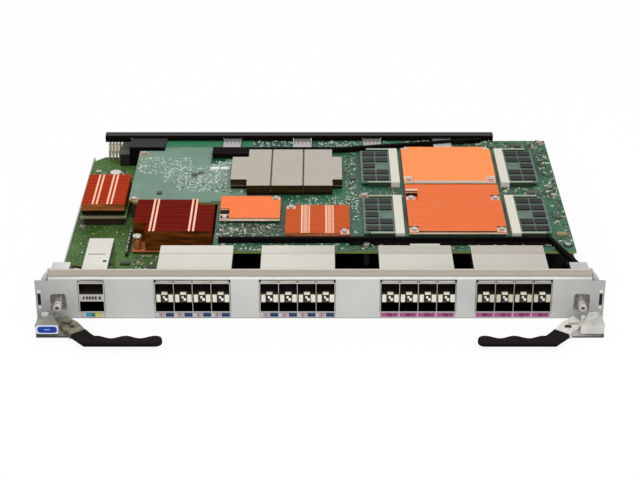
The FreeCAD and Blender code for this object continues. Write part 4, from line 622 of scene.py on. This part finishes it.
# Cage steel: clouds, painted shade to the right and over the rear part, a crease and a hole painted dark as
# shade, mirror-like sides, and painted black shade inside except on the rear wall
def cageFinish(name):
    look = dict(cageSteel, **cageLooks[name])
    f = Finish(name, 0.45, 0.0)
    grain = f.noise(0.7, 2, (8, 1, 1))
    f.color = f.cloud(50, look["light"], look["dark"])
    f.paint(f.ramp(grain, 0.4, 0.8), look["dark"])
    # Painted shade: darker towards the right
    f.paint(f.ramp(f.axes[0], *look["rightwardShade"]), look["rightwardShadeColor"], look["rightwardShadeStrength"])
    crease = look["crease"]
    # Painted shade: the rear part behind the crease, darker to the right
    behind = f.times(f.within(y=(crease, look["rearEnd"])), f.ramp(f.axes[0], *look["rearShadeRamp"]))
    f.paint(behind, look["rearShadeColor"], look["rearShadeStrength"])
    # Painted shade: a dark line along the crease
    line = f.within(x=look["creaseSpan"], y=(crease, crease + look["creaseWidth"]), z=look["top"])
    f.paint(line, look["creaseShadeColor"])
    # Painted shade: a dark disc at the wide cage's hole
    if "hole" in look:
        f.paint(f.disc(look["hole"], look["holeRadius"]), "#14120F")
    sides = f.maths("GREATER_THAN", f.maths("ABSOLUTE", f.normal(0)), 0.5)
    f.paint(sides, look["sideColor"])
    # Painted shade: near black inside the ports, except on the rear wall
    dark = None
    reach = look["half"] - look["wall"]
    for centre in look["centres"]:
        inside = f.within(x=(centre - reach, centre + reach), y=look["insideY"], z=look["insideZ"])
        dark = inside if dark is None else f.maths("MAXIMUM", dark, inside)
    rearWall = f.times(f.facing(1, 1), f.within(y=look["rearWall"]))
    dark = f.times(dark, f.maths("SUBTRACT", 1.0, rearWall))
    f.paint(dark, look["insideShadeColor"])
    mirror = f.times(sides, f.maths("SUBTRACT", 1.0, dark))
    f.tree.links.new(f.times(mirror, look["sideMetal"]), f.shader.inputs["Metallic"])
    return f.finish(grain, 0.012, f.ramp(mirror, 0.0, 1.0, *look["gloss"]))


setFinish(cageFinish("passivated_cage_steel"), "port_cage_1", "port_cage_2", "port_cage_3", "port_cage_4")
setFinish(cageFinish("pale_wide_cage"), "wide_port_cage")
setFinish(sheetFinish("spring_steel_frames", "#C8C5BB", "#9A978D", 0.35, 0.6, 0.4, 20), "cage_frames")
divider = Finish("divider_steel", 0.4, 0.4)
grain = divider.noise(0.4)
divider.color = divider.mix(divider.ramp(grain, 0.3, 0.7), "#BDB9AE", "#A19D92")
# Painted shade: near black behind the front edge, inside the ports
divider.paint(divider.within(y=(0.2, 80)), "#0A0806")
setFinish(divider.finish(grain, 0.01), "cage_dividers")
socket = Finish("port_socket_plastic", 0.55)
contact = socket.times(socket.lines(0, 0.8, 0.45), socket.facing(1, -1))
lowerRow, upperRow = socket.within(z=(8, 10)), socket.within(z=(25, 27))
contact = socket.times(contact, socket.maths("MAXIMUM", lowerRow, upperRow))
grain = socket.noise(0.5)
socket.color = socket.mix(contact, socket.mix(grain, "#0B0A09", "#171513"), "#8A6A2C")
setFinish(socket.finish(grain, 0.02), "port_connectors", "wide_port_connector")
plastic = Finish("moulded_latch_plastic", 0.42)
grain = plastic.noise(0.6)
plastic.color = plastic.tint()
plastic.paint(grain, "#6E675A", 0.35)
plasticMaterial = plastic.finish(grain, 0.03)

# The latch blocks between two ports, measured from the column's left wall: x, y and z ranges and colour
latchShapes = [
    (0, 13.75, -0.7, 45.5, 14.5, 21.5, "#120E0A"), (0.85, 4.0, -1.2, 1.5, 14.6, 21.0, "cream"),
    (10.0, 13.4, -1.2, 1.5, 14.6, 21.0, "cream"), (4.8, 9.3, -1.3, 1.2, 21.0, 22.5, "#EFE9D8"),
    (5.8, 7.4, -1.15, 1, 17.8, 19.7, "#FBFAF4"), (7.2, 9.2, -1.15, 1, 15.8, 17.9, "#FBFAF4"),
    (5.0, 9.4, -0.9, 1, 14.6, 15.0, "#7C7565")]
fingerShape = (-0.35, 1.5, 30.75, 32.5)
# Dark blocks at each group's two top corners: painted shadow beside the gasket's pale strip
cornerShadowShapes = [(-0.4, 1.5), (56.0, 57.9)]
rows, colors, fingers = [], [], []
for centre in portGroups:
    cream = "#F1ECDD" if centre < 100 else "#DAD3C0"
    start = centre - groupHalf
    for column in range(4):
        left = start + column * portPitch + wallThick
        for low, high, *rest, shade in latchShapes:
            rows.append((left + low, left + high, *rest))
            colors.append(cream if shade == "cream" else shade)
        fingers.append((left + 0.7, left + portPitch - wallThick - 0.7) + fingerShape)
    # Painted shadow blocks at the group's top corners
    for low, high in cornerShadowShapes:
        rows.append((start + low, start + high, 0.3, 1.45, 30.8, 33.2))
        colors.append("#0E0B08")
latches = boxPiece("port_latch_blocks", rows, plasticMaterial, colors=colors, bevel=0.25)
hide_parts("port_separators")
fingers.append((wideCentre - 7.8, wideCentre + 7.8) + fingerShape)
fingerFinish = sheetFinish("pale_spring_fingers", "#C9C6BE", "#A8A59C", 0.4, 0.4, 0.4, 10)
boxPiece("spring_fingers", fingers, fingerFinish, bevel=0.2)

# The strip between the wide ports: its body, its pale face and the dark bars on it, measured from its centre
wideSpan = (wideCentre - wideHalf, wideCentre + wideHalf)
rows = [wideSpan + (-0.45, 57.5, 14.5, 21.5), wideSpan + (-0.8, 0.4, 15.0, 21.0)]
colors = ["#1A1713", "#C8C5BD"]
for low, high in [(-6.6, -5.2), (-4.2, -2.5), (-2.0, -0.3), (0.2, 1.9), (2.4, 4.1), (5.4, 7.2)]:
    rows.append((wideCentre + low, wideCentre + high, -0.9, 0, 16.8, 19.4))
    colors.append("#2B2825")
strip = boxPiece("wide_port_strip", rows, plasticMaterial, colors=colors, bevel=0.15)
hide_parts("wide_port_separator")

# The faceplate's print: plain fields of colour under each group, in a thin dark outline
# Panel settings: its tones, a painted highlight on the top edge, painted shade at the ends, at the slots and
# along the foot, and the print's places
panelLook = dict(
    shades=("#CBCBC8", "#B9BAB7"), back="#8C8D8B", top=[(dict(z=(33.6, 36.2)), "#DCDBD6")],
    endShadeRamp=(178, 218), endShadeStrength=0.45, endShadeColor="#7F807E",
    slotColumn=213.8, slotHalf=1.2, slot=(11.5, 21.7), slotShadeColor="#3A3835",
    lowerEdge=(-1, 0.55), footShadeColor="#868684", footShadeStrength=0.8, labels=(1.3, 4.6),
    ring=(0.7, 4.9), ringInner=(1.0, 4.7), ringWidth=0.3)
leftLabels = [(2.2, 7.8, "#B3A0A6"), (3.9, 4.9, "#8C6A7C"), (7.9, 14.1, "#28406B")]
rightLabels = [(0.5, 13.9, "#A2557F"), (5.2, 9.4, "#7F3565"), (10.3, 12.2, "#863D6C")]
wideLabels = [(-179.2, -174.6, "#3B93BC"), (-174.6, -171.9, "#2C7368"), (-171.9, -168.6, "#CDBF49"),
              (-168.6, -165.8, "#B9BF8A")]
labelRings = [(-182.2, -164.6), (-125.9, -68.1), (-46, 11.8), (45.8, 103.8), (118.6, 176.6)]
panel = Finish("satin_grey_paint", 0.42, 0.1)
grain = panel.noise(0.5, 2)
panel.color = panel.cloud(90, *panelLook["shades"])
panel.paint(panel.facing(1, 1), panelLook["back"])
# Painted highlight along the panel's top edge, from z 33.6 to 36.2
panel.zones(panelLook["top"])
outward = panel.maths("ABSOLUTE", panel.axes[0])
# Painted shade: darker towards both ends of the panel
panel.paint(panel.ramp(outward, *panelLook["endShadeRamp"]), panelLook["endShadeColor"], panelLook["endShadeStrength"])
labelFields = []
for centre in portGroups:
    for column in range(4):
        left = centre - groupHalf + column * portPitch
        marks = leftLabels if centre < 0 else rightLabels
        labelFields += [(left + low, left + high, shade) for low, high, shade in marks]
label = panel.within(y=(-0.1, 0.1), z=panelLook["labels"])
for low, high, shade in labelFields + wideLabels:
    panel.paint(panel.times(label, panel.within(x=(low, high))), shade)
width = panelLook["ringWidth"]
for low, high in labelRings:
    outer = panel.within(x=(low, high), z=panelLook["ring"])
    inner = panel.within(x=(low + width, high - width), z=panelLook["ringInner"])
    ring = panel.times(panel.maths("SUBTRACT", outer, inner), panel.facing(1, -1))
    panel.paint(ring, "#5B5B5A" if low < 20 else "#B58BA3")
# Painted shade: a dark slot beside each end, as the shade inside the opening
fromSlot = panel.maths("ABSOLUTE", panel.maths("SUBTRACT", outward, panelLook["slotColumn"]))
besideSlot = panel.maths("LESS_THAN", fromSlot, panelLook["slotHalf"])
slotEnds = panel.times(besideSlot, panel.within(z=panelLook["slot"]))
panel.paint(slotEnds, panelLook["slotShadeColor"])
# Painted shade: a darker line along the panel's foot on its front
lowerEdge = panel.times(panel.within(z=panelLook["lowerEdge"]), panel.facing(1, -1))
panel.paint(lowerEdge, panelLook["footShadeColor"], panelLook["footShadeStrength"])
setFinish(panel.finish(grain, 0.01), "faceplate")
print("ports done")

# Levers, housings, number plate and captive screws; the lever's hole is a painted disc of shade on its plate
leverLooks = {
    "left": dict(sign=-1, shades=("#A29D86", "#6E6B5C"), hole="#6B6655", housing=("#9D9D95", "#7E7E76")),
    "right": dict(sign=1, shades=("#F6F3EC", "#E3DFD7"), hole="#4C4843", housing=("#DCDAD5", "#BBB9B3"))}
leverHole = dict(column=186.6, front=-23.6, top=5.5, radius=2.9)
for side, look in leverLooks.items():
    lever = Finish(side + "_lever_steel", 0.4, 0.4)
    grain = lever.noise(0.5, 2, (1, 4, 1))
    lever.color = lever.cloud(4.5, *look["shades"])
    # Painted shade: the hole is a darker disc on the plate
    holePlace = (look["sign"] * leverHole["column"], leverHole["front"], leverHole["top"])
    lever.paint(lever.disc(holePlace, leverHole["radius"]), look["hole"])
    setFinish(lever.finish(grain, 0.012), side + "_lever_plate")
    housing = Finish(side + "_housing_steel", 0.38, 0.4)
    grain = housing.noise(0.4, 2)
    housing.color = housing.cloud(10, *look["housing"])
    # Painted shade: a dark band low on the housing's front, under the lever plate
    shadeUnderPlate = housing.times(housing.facing(1, -1), housing.within(z=(-1, 3.4)))
    housing.paint(shadeUnderPlate, "#3B3936")
    setFinish(housing.finish(grain, 0.012), side + "_ejector_housing")
grip = Finish("soft_black_grip", 0.6, 0.0, 0.03)
grain = grip.noise(0.35, 3)
grip.color = grip.cloud(12, "#161312", "#100D0C")
# Painted highlight: a lighter band along the grip's top
grip.paint(grip.within(z=(5.6, 7.4)), "#1D1918")
setFinish(grip.finish(grain, 0.04), "left_lever_grip", "right_lever_grip")

# The number plate's blue field: shares of its half sizes in x and z, each to a power, add up to less than 1
plateLook = dict(centre=(204.2, 7.1), half=(7.3, 2.7), powers=(7.0, 3.4), border=("#D8E0EE", "#C6D0E2"),
                 field=("#17348C", "#1F3F9C"), bar=[(dict(x=(-206.6, -202.0), z=(6.7, 7.5)), "#8EA5DC")])
plate = Finish("printed_number_plate", 0.3, 0.0)
offsets = [plate.maths("ADD", plate.axes[0], plateLook["centre"][0]),
           plate.maths("SUBTRACT", plate.axes[2], plateLook["centre"][1])]
terms = []
for offset, half, power in zip(offsets, plateLook["half"], plateLook["powers"]):
    share = plate.maths("ABSOLUTE", plate.maths("DIVIDE", offset, half))
    terms.append(plate.maths("POWER", share, power))
field = plate.maths("LESS_THAN", plate.maths("ADD", *terms), 1.0)
grain = plate.noise(0.4)
border = plate.mix(grain, *plateLook["border"])
plate.color = plate.mix(field, border, plate.mix(grain, *plateLook["field"]))
plate.zones(plateLook["bar"])
setFinish(plate.finish(grain, 0.01), "number_plate")

# A captive screw: its head's radius at each step along Y, a drive in its face and a spring on its shank
captive = dict(
    column=199.4, height=13.3,
    head=dict(ridges=28, ridgeDepth=0.22, ridgeRange=(-7.9, -4.5), steps=112, profile=[
        (-8.45, 1.55), (-8.6, 1.7), (-8.6, 2.75), (-8.35, 3.0), (-8.0, 3.15), (-4.4, 3.15), (-4.2, 2.9),
        (-3.9, 2.7), (-3.7, 2.9), (-3.5, 3.15), (-1.9, 3.15), (-1.6, 2.9), (-1.6, 1.75), (12, 1.75),
        (12.1, 1.5), (12.5, 1.3), (16.6, 1.5), (17, 1.2)]),
    drive=dict(ridges=6, ridgeDepth=0.25, ridgeRange=(-8.7, -8.5), steps=48, profile=[
        (-8.66, 1.35), (-8.62, 1.4), (-8.6, 1.2)]),
    spring=dict(start=-0.5, end=10.25, radius=2.42, wire=0.24, turns=8),
    springFoot=10.44, springKept=0.46)
screwFinish = sheetFinish("bright_screw_steel", "#F2F1ED", "#CFCDC8", 0.3, 0.55, 0.3, 6, (1, 5, 1))
for side, look in leverLooks.items():
    x, z = look["sign"] * captive["column"], captive["height"]
    head = turnedMesh(centre=(x, z), **captive["head"])
    screw = makePiece(side + "_screw_knurled", *head, screwFinish, side + "_screw")
    # Painted shade: the drive in the screw's face is a dark disc, as the shade in its socket
    dark = Finish(side + "_screw_socket", 0.5)
    grain = dark.noise(0.4)
    dark.color = dark.mix(grain, "#3B3A38", "#56544F")
    socketShadeMaterial = dark.finish(grain, 0.02)
    drive = turnedMesh(centre=(x, z), **captive["drive"])
    makePiece(side + "_screw_drive", *drive, socketShadeMaterial, side + "_screw")
    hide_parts(side + "_captive_screw")
    coilShape = coilMesh((x, z), "y", **captive["spring"])
    coil = makePiece(side + "_spring_coil", *coilShape, screwFinish, smooth=True)
    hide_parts(side + "_screw_spring")
    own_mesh(coil)
print("levers done")

# Stiffeners and the rear connectors: each is darker or lighter on top than on its sides, as painted light on
# the tops and painted shade on the sides
black = Finish("black_stiffener_paint", 0.6, 0.0, 0.02)
grain = black.noise(0.5)
black.color = black.mix(black.facing(2, 1), black.cloud(30, "#0B0907", "#15120F"), "#120F0C")
setFinish(black.finish(grain, 0.02), "front_stiffener", "middle_stiffener")


# Painted light and shade: two shades in a fine grain on the lit top, and one or two darker ones on the shaded
# other faces
def litTopColor(f, grain, top, sides):
    below = f.mix(grain, *sides) if isinstance(sides, tuple) else sides
    return f.mix(f.facing(2, 1), below, f.mix(grain, *top))


bar = Finish("anodised_rear_bar", 0.6, 0.0, 0.03)
grain = bar.noise(0.4, 2, (12, 1, 1))
bar.color = litTopColor(bar, grain, ("#454341", "#3A3836"), ("#0A0705", "#14100D"))
barMaterial = bar.finish(grain, 0.015)
setFinish(barMaterial, "rear_stiffener")

# Rear connector tones; the back zone is painted shadow under the rear bar
rearLook = dict(front=(283, 289), frontColor="#6B6866", comb=(276, 289), combColor="#5E5C5B",
                combPitch=(3.4, 4.2), combShare=(0.55, 0.5), back=[(dict(y=(289, 306)), "#1C1B1A")])
rear = Finish("signal_connector_plastic", 0.5)
grain = rear.noise(0.5)
rear.color = litTopColor(rear, grain, ("#B8B4B3", "#A7A3A1"), "#6F6E6C")
front = rear.times(rear.facing(2, 1), rear.within(y=rearLook["front"]))
rear.paint(front, rearLook["frontColor"])
teeth = [rear.lines(axis, rearLook["combPitch"][axis], rearLook["combShare"][axis]) for axis in (0, 1)]
comb = rear.times(rear.times(*teeth), rear.facing(2, 1))
rear.paint(rear.times(comb, rear.within(y=rearLook["comb"])), rearLook["combColor"])
# Painted shadow: darker where the connectors run under the rear bar
rear.zones(rearLook["back"])
setFinish(rear.finish(grain, 0.03), "signal_connectors")

for name, finishName, top, below, rough, specular in (
        ("power_connector", "power_connector_plastic", ("#37383A", "#2E2F30"), "#0E0D0B", 0.5, 0.04),
        ("guide_block", "guide_block_plastic", ("#4B5145", "#3E4439"), "#22251F", 0.45, 0.15)):
    block = Finish(finishName, rough, 0.0, specular)
    grain = block.noise(0.5)
    block.color = litTopColor(block, grain, top, below)
    setFinish(block.finish(grain, 0.03), name)
setFinish(sheetFinish("plated_power_blades", "#D2CCB2", "#B3AB8B", 0.3, 0.7, 0.3, 4), "power_blades")
boxPiece("rear_bar_end_web", [(-196, -172.4, 293, 294.4, 19.9, 24.05)], barMaterial, bevel=0.1)
print("rear done")

# Memory, chips and small parts: heights where the chips, the sockets' marks and the header's tips begin
cardLook = dict(shades=("#5E7466", "#4A6152"), trackLines=(0.9, 0.3), trackStrength=0.25,
                trackColor="#8FA596", chips=(25.45, 27), chipShades=("#161616", "#242424"))
card = Finish("memory_card_mask", 0.4)
tracks = card.times(card.lines(1, *cardLook["trackLines"]), cardLook["trackStrength"])
card.color = card.mix(tracks, card.cloud(9, *cardLook["shades"]), cardLook["trackColor"])
chipGrain = card.noise(0.6)
card.paint(card.within(z=cardLook["chips"]), card.mix(chipGrain, *cardLook["chipShades"]))
setFinish(card.finish(card.maths("ADD", tracks, chipGrain), 0.03), "memory_module_left_front",
          "memory_module_left_rear", "memory_module_right_front", "memory_module_right_rear")

socketLook = dict(shades=("#DAD7CA", "#C6C2B3"), markRows=((124.5, 134.5), (222.5, 232.5)),
                  markColumns=((44.5, 45.5), (178.7, 179.7)), markHeights=(26.5, 27), markColor="#77756B",
                  arms=((40, 61.2), (163, 184)), armLitAndShadedFaces=("#2E3B30", "#97A08C"))
cream = Finish("cream_socket_plastic", 0.45)
grain = cream.noise(0.6)
cream.color = cream.mix(grain, *socketLook["shades"])
for row in socketLook["markRows"]:
    for column in socketLook["markColumns"]:
        mark = cream.within(x=column, y=row, z=socketLook["markHeights"])
        cream.paint(mark, socketLook["markColor"])
leftArms, rightArms = [cream.within(x=span) for span in socketLook["arms"]]
# Painted light and shade: the arms' tops lighter, their sides darker
armColor = cream.mix(cream.facing(2, 1), *socketLook["armLitAndShadedFaces"])
cream.paint(cream.maths("MAXIMUM", leftArms, rightArms), armColor)
setFinish(cream.finish(grain, 0.03), "memory_sockets")
setFinish(sheetFinish("moulded_chip_packages", "#1C1C1B", "#2A2A28", 0.5, 0.0, 0.6, 14), "chip_packages")

headerLook = dict(body=(8.0, 14), tips=(9.9, 14), tipLines=(5.08, 0.55))
header = Finish("pin_header_plastic", 0.5)
grain = header.noise(0.4)
headerBody = header.mix(grain, "#2A3D22", "#1D2E18")
header.color = header.mix(header.within(z=headerLook["body"]), headerBody, "#3D4430")
tips = header.times(header.within(z=headerLook["tips"]), header.lines(1, *headerLook["tipLines"]))
header.paint(tips, "#E9E6DC")
setFinish(header.finish(grain, 0.02), "pin_header")
can = Finish("aluminium_can", 0.3, 0.5)
grain = can.noise(0.4)
can.color = can.mix(can.facing(2, 1, 0.9), "#8C8E8C", can.mix(grain, "#E3DEDD", "#CFCBC9"))
setFinish(can.finish(grain, 0.01), "can_capacitor")
setFinish(sheetFinish("plug_connector_plastic", "#3B2A22", "#261B16", 0.45, 0.0, 0.5, 10),
          "plug_in_connectors")

# Spring screws: a head with a hollow over a coil; a row holds x, y, the board's top and the head's top
cornerScrews = [(x, y) for span in ((198.2, 261.8), (100.2, 159.8)) for x in (76.6, 147.6) for y in span]
evenScrews = [(-37.2, 159.3), (-24, 141.8), (20, 96.7)] + cornerScrews
sinkScrews = [(-78.8, 123.6, upperTop, 26.9)]
sinkScrews += [(x, y, upperTop, 27.9) for x, y in evenScrews] + [(-148.8, 100.8, lowerTop, 20.7)]
flatScrew = dict(radius=2.1, coilFoot=2.3, wire=0.28, turns=2)
tallScrew = dict(radius=3.6, coilFoot=0.4, wire=0.42, turns=7)
tabHalf = 3.7
tabs = [(x - tabHalf, x + tabHalf, y - tabHalf, y + tabHalf, 25.3, 26.0)
        for x, y, low, high in sinkScrews if low == upperTop]
tabs += [(-82.8, -75.2, 120.9, 129.4, 25.3, 26.0), (72.8, 83.2, 173.2, 176.8, 26.4, 27.15)]
tabFinish = sheetFinish("pale_screw_tabs", "#E9D5C9", "#CDAC9A", 0.4, 0.2, 0.5, 4)
boxPiece("spring_screw_tabs", tabs, tabFinish, bevel=0.3)
# Thin black sheets in two sink notches, behind the tabs: painted shade
notchShadeSheets = [(-82.8, -75.2, 129.8, 138.3, 25.28, 25.4), (72.6, 82.4, 165, 171.8, 25.28, 25.4)]
notchShadeFinish = sheetFinish("painted_notch_shade", "#0C0807", "#060403", 0.7, 0.0, 0.6, 4)
boxPiece("notch_shade_sheets", notchShadeSheets, notchShadeFinish, bevel=0.04)
heads, coils = [], []
for x, y, low, high in sinkScrews:
    look = flatScrew if low == upperTop else tallScrew
    radius, rim = look["radius"], high - 1.3
    profile = [(rim, 0.5), (rim, radius * 0.96), (high - 0.35, radius), (high, radius * 0.86),
               (high - 0.02, radius * 0.5), (high - 0.7, radius * 0.42), (high - 0.7, 0.3)]
    shank = [(low, 1.05), (rim, 1.05)]
    for shape in (profile, shank):
        points, faces = turnedMesh(shape, (0, 0), steps=32)
        heads.append((points[:, [0, 2, 1]] + [x, y, 0], [face[::-1] for face in faces]))
    coils.append(coilMesh((x, y), "z", low + look["coilFoot"], high - 1.45, radius * 0.82, look["wire"],
                          look["turns"]))
headFinish = sheetFinish("nickel_spring_screws", "#E6E4DF", "#BFBCB6", 0.3, 0.6, 0.3, 6)
screws = makePiece("spring_screw_heads", *joinMeshes(heads), headFinish)
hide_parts("heat_sink_screws")
coilFinish = sheetFinish("copper_coloured_springs", "#D0703A", "#8E4420", 0.4, 0.15, 0.3, 4)
makePiece("spring_screw_coils", *joinMeshes(coils), coilFinish, smooth=True)
print("small parts done")

# Stage, light and camera: places in metres; the floor and the world show white to the camera
floorHalf, floorHeight = 3, -0.0005
corners = [(x * floorHalf, y * floorHalf, floorHeight) for x, y in ((-1, -1), (1, -1), (1, 1), (-1, 1))]
floor = bpy.data.meshes.new("floor")
floor.from_pydata(corners, [], [(0, 1, 2, 3)])
addObject("floor", floor)
floorMaterial = bpy.data.materials.new("pale_floor")
floorMaterial.use_nodes = True
tree = floorMaterial.node_tree
shader = tree.nodes["Principled BSDF"]
shader.inputs["Base Color"].default_value = (0.86, 0.86, 0.86, 1)
shader.inputs["Roughness"].default_value = 0.9
rays = addNode(tree, "ShaderNodeLightPath")
seen = addNode(tree, "ShaderNodeMath", {0: rays.outputs["Is Camera Ray"], 1: 0.9}, operation="MULTIPLY")
glow = addNode(tree, "ShaderNodeEmission", {"Color": (1, 1, 1, 1), "Strength": 1.0})
blend = addNode(tree, "ShaderNodeMixShader", {0: seen.outputs[0], 1: shader.outputs[0], 2: glow.outputs[0]})
tree.links.new(blend.outputs[0], tree.nodes["Material Output"].inputs[0])
floor.materials.append(floorMaterial)

world = bpy.data.worlds.new("studio")
scene.world = world
world.use_nodes = True
tree = world.node_tree
rays = addNode(tree, "ShaderNodeLightPath").outputs
pair = {0: rays["Is Camera Ray"], 1: rays["Is Transmission Ray"]}
seen = addNode(tree, "ShaderNodeMath", pair, operation="MAXIMUM")
white = addNode(tree, "ShaderNodeMix", {0: seen.outputs[0], 2: 0.55, 3: 1.0}, data_type="FLOAT")
tree.links.new(white.outputs[0], tree.nodes["Background"].inputs["Strength"])
tree.nodes["Background"].inputs["Color"].default_value = (1, 1, 1, 1)


# An area lamp that looks at the target: its tilt and turn are the angles of the line from the target to it
def softbox(name, place, target, size, power):
    light = bpy.data.lights.new(name, "AREA")
    light.shape = "RECTANGLE"
    light.size, light.size_y = size
    light.energy = power
    lamp = addObject(name, light)
    lamp.location = place
    away = np.array(place) - np.array(target)
    tilt, turn = math.atan2(math.hypot(away[0], away[1]), away[2]), math.atan2(away[1], away[0])
    lamp.rotation_euler = (tilt, 0, turn + math.pi / 2)


lights = {
    "key": dict(place=(0.3, -0.5, 1.6), size=(1.4, 1.0), power=13.0),
    "back": dict(place=(-0.4, 1.3, 1.3), size=(1.6, 0.8), power=8.0),
    "front": dict(place=(0.0, -1.6, 0.7), size=(1.6, 0.6), power=7.0)}
for name, light in lights.items():
    softbox(name, target=(0, 0, 0.02), **light)

cameraLook = dict(lens=95.625, sensor=36, place=(0, -1.2839, 0.6386), down=26.7)
camera = bpy.data.cameras.new("camera")
camera.lens = cameraLook["lens"]
camera.sensor_width = cameraLook["sensor"]
cameraObject = addObject("camera", camera)
cameraObject.location = cameraLook["place"]
cameraObject.rotation_euler = (math.radians(90 - cameraLook["down"]), 0, 0)
scene.camera = cameraObject
scene.view_settings.view_transform = "Standard"
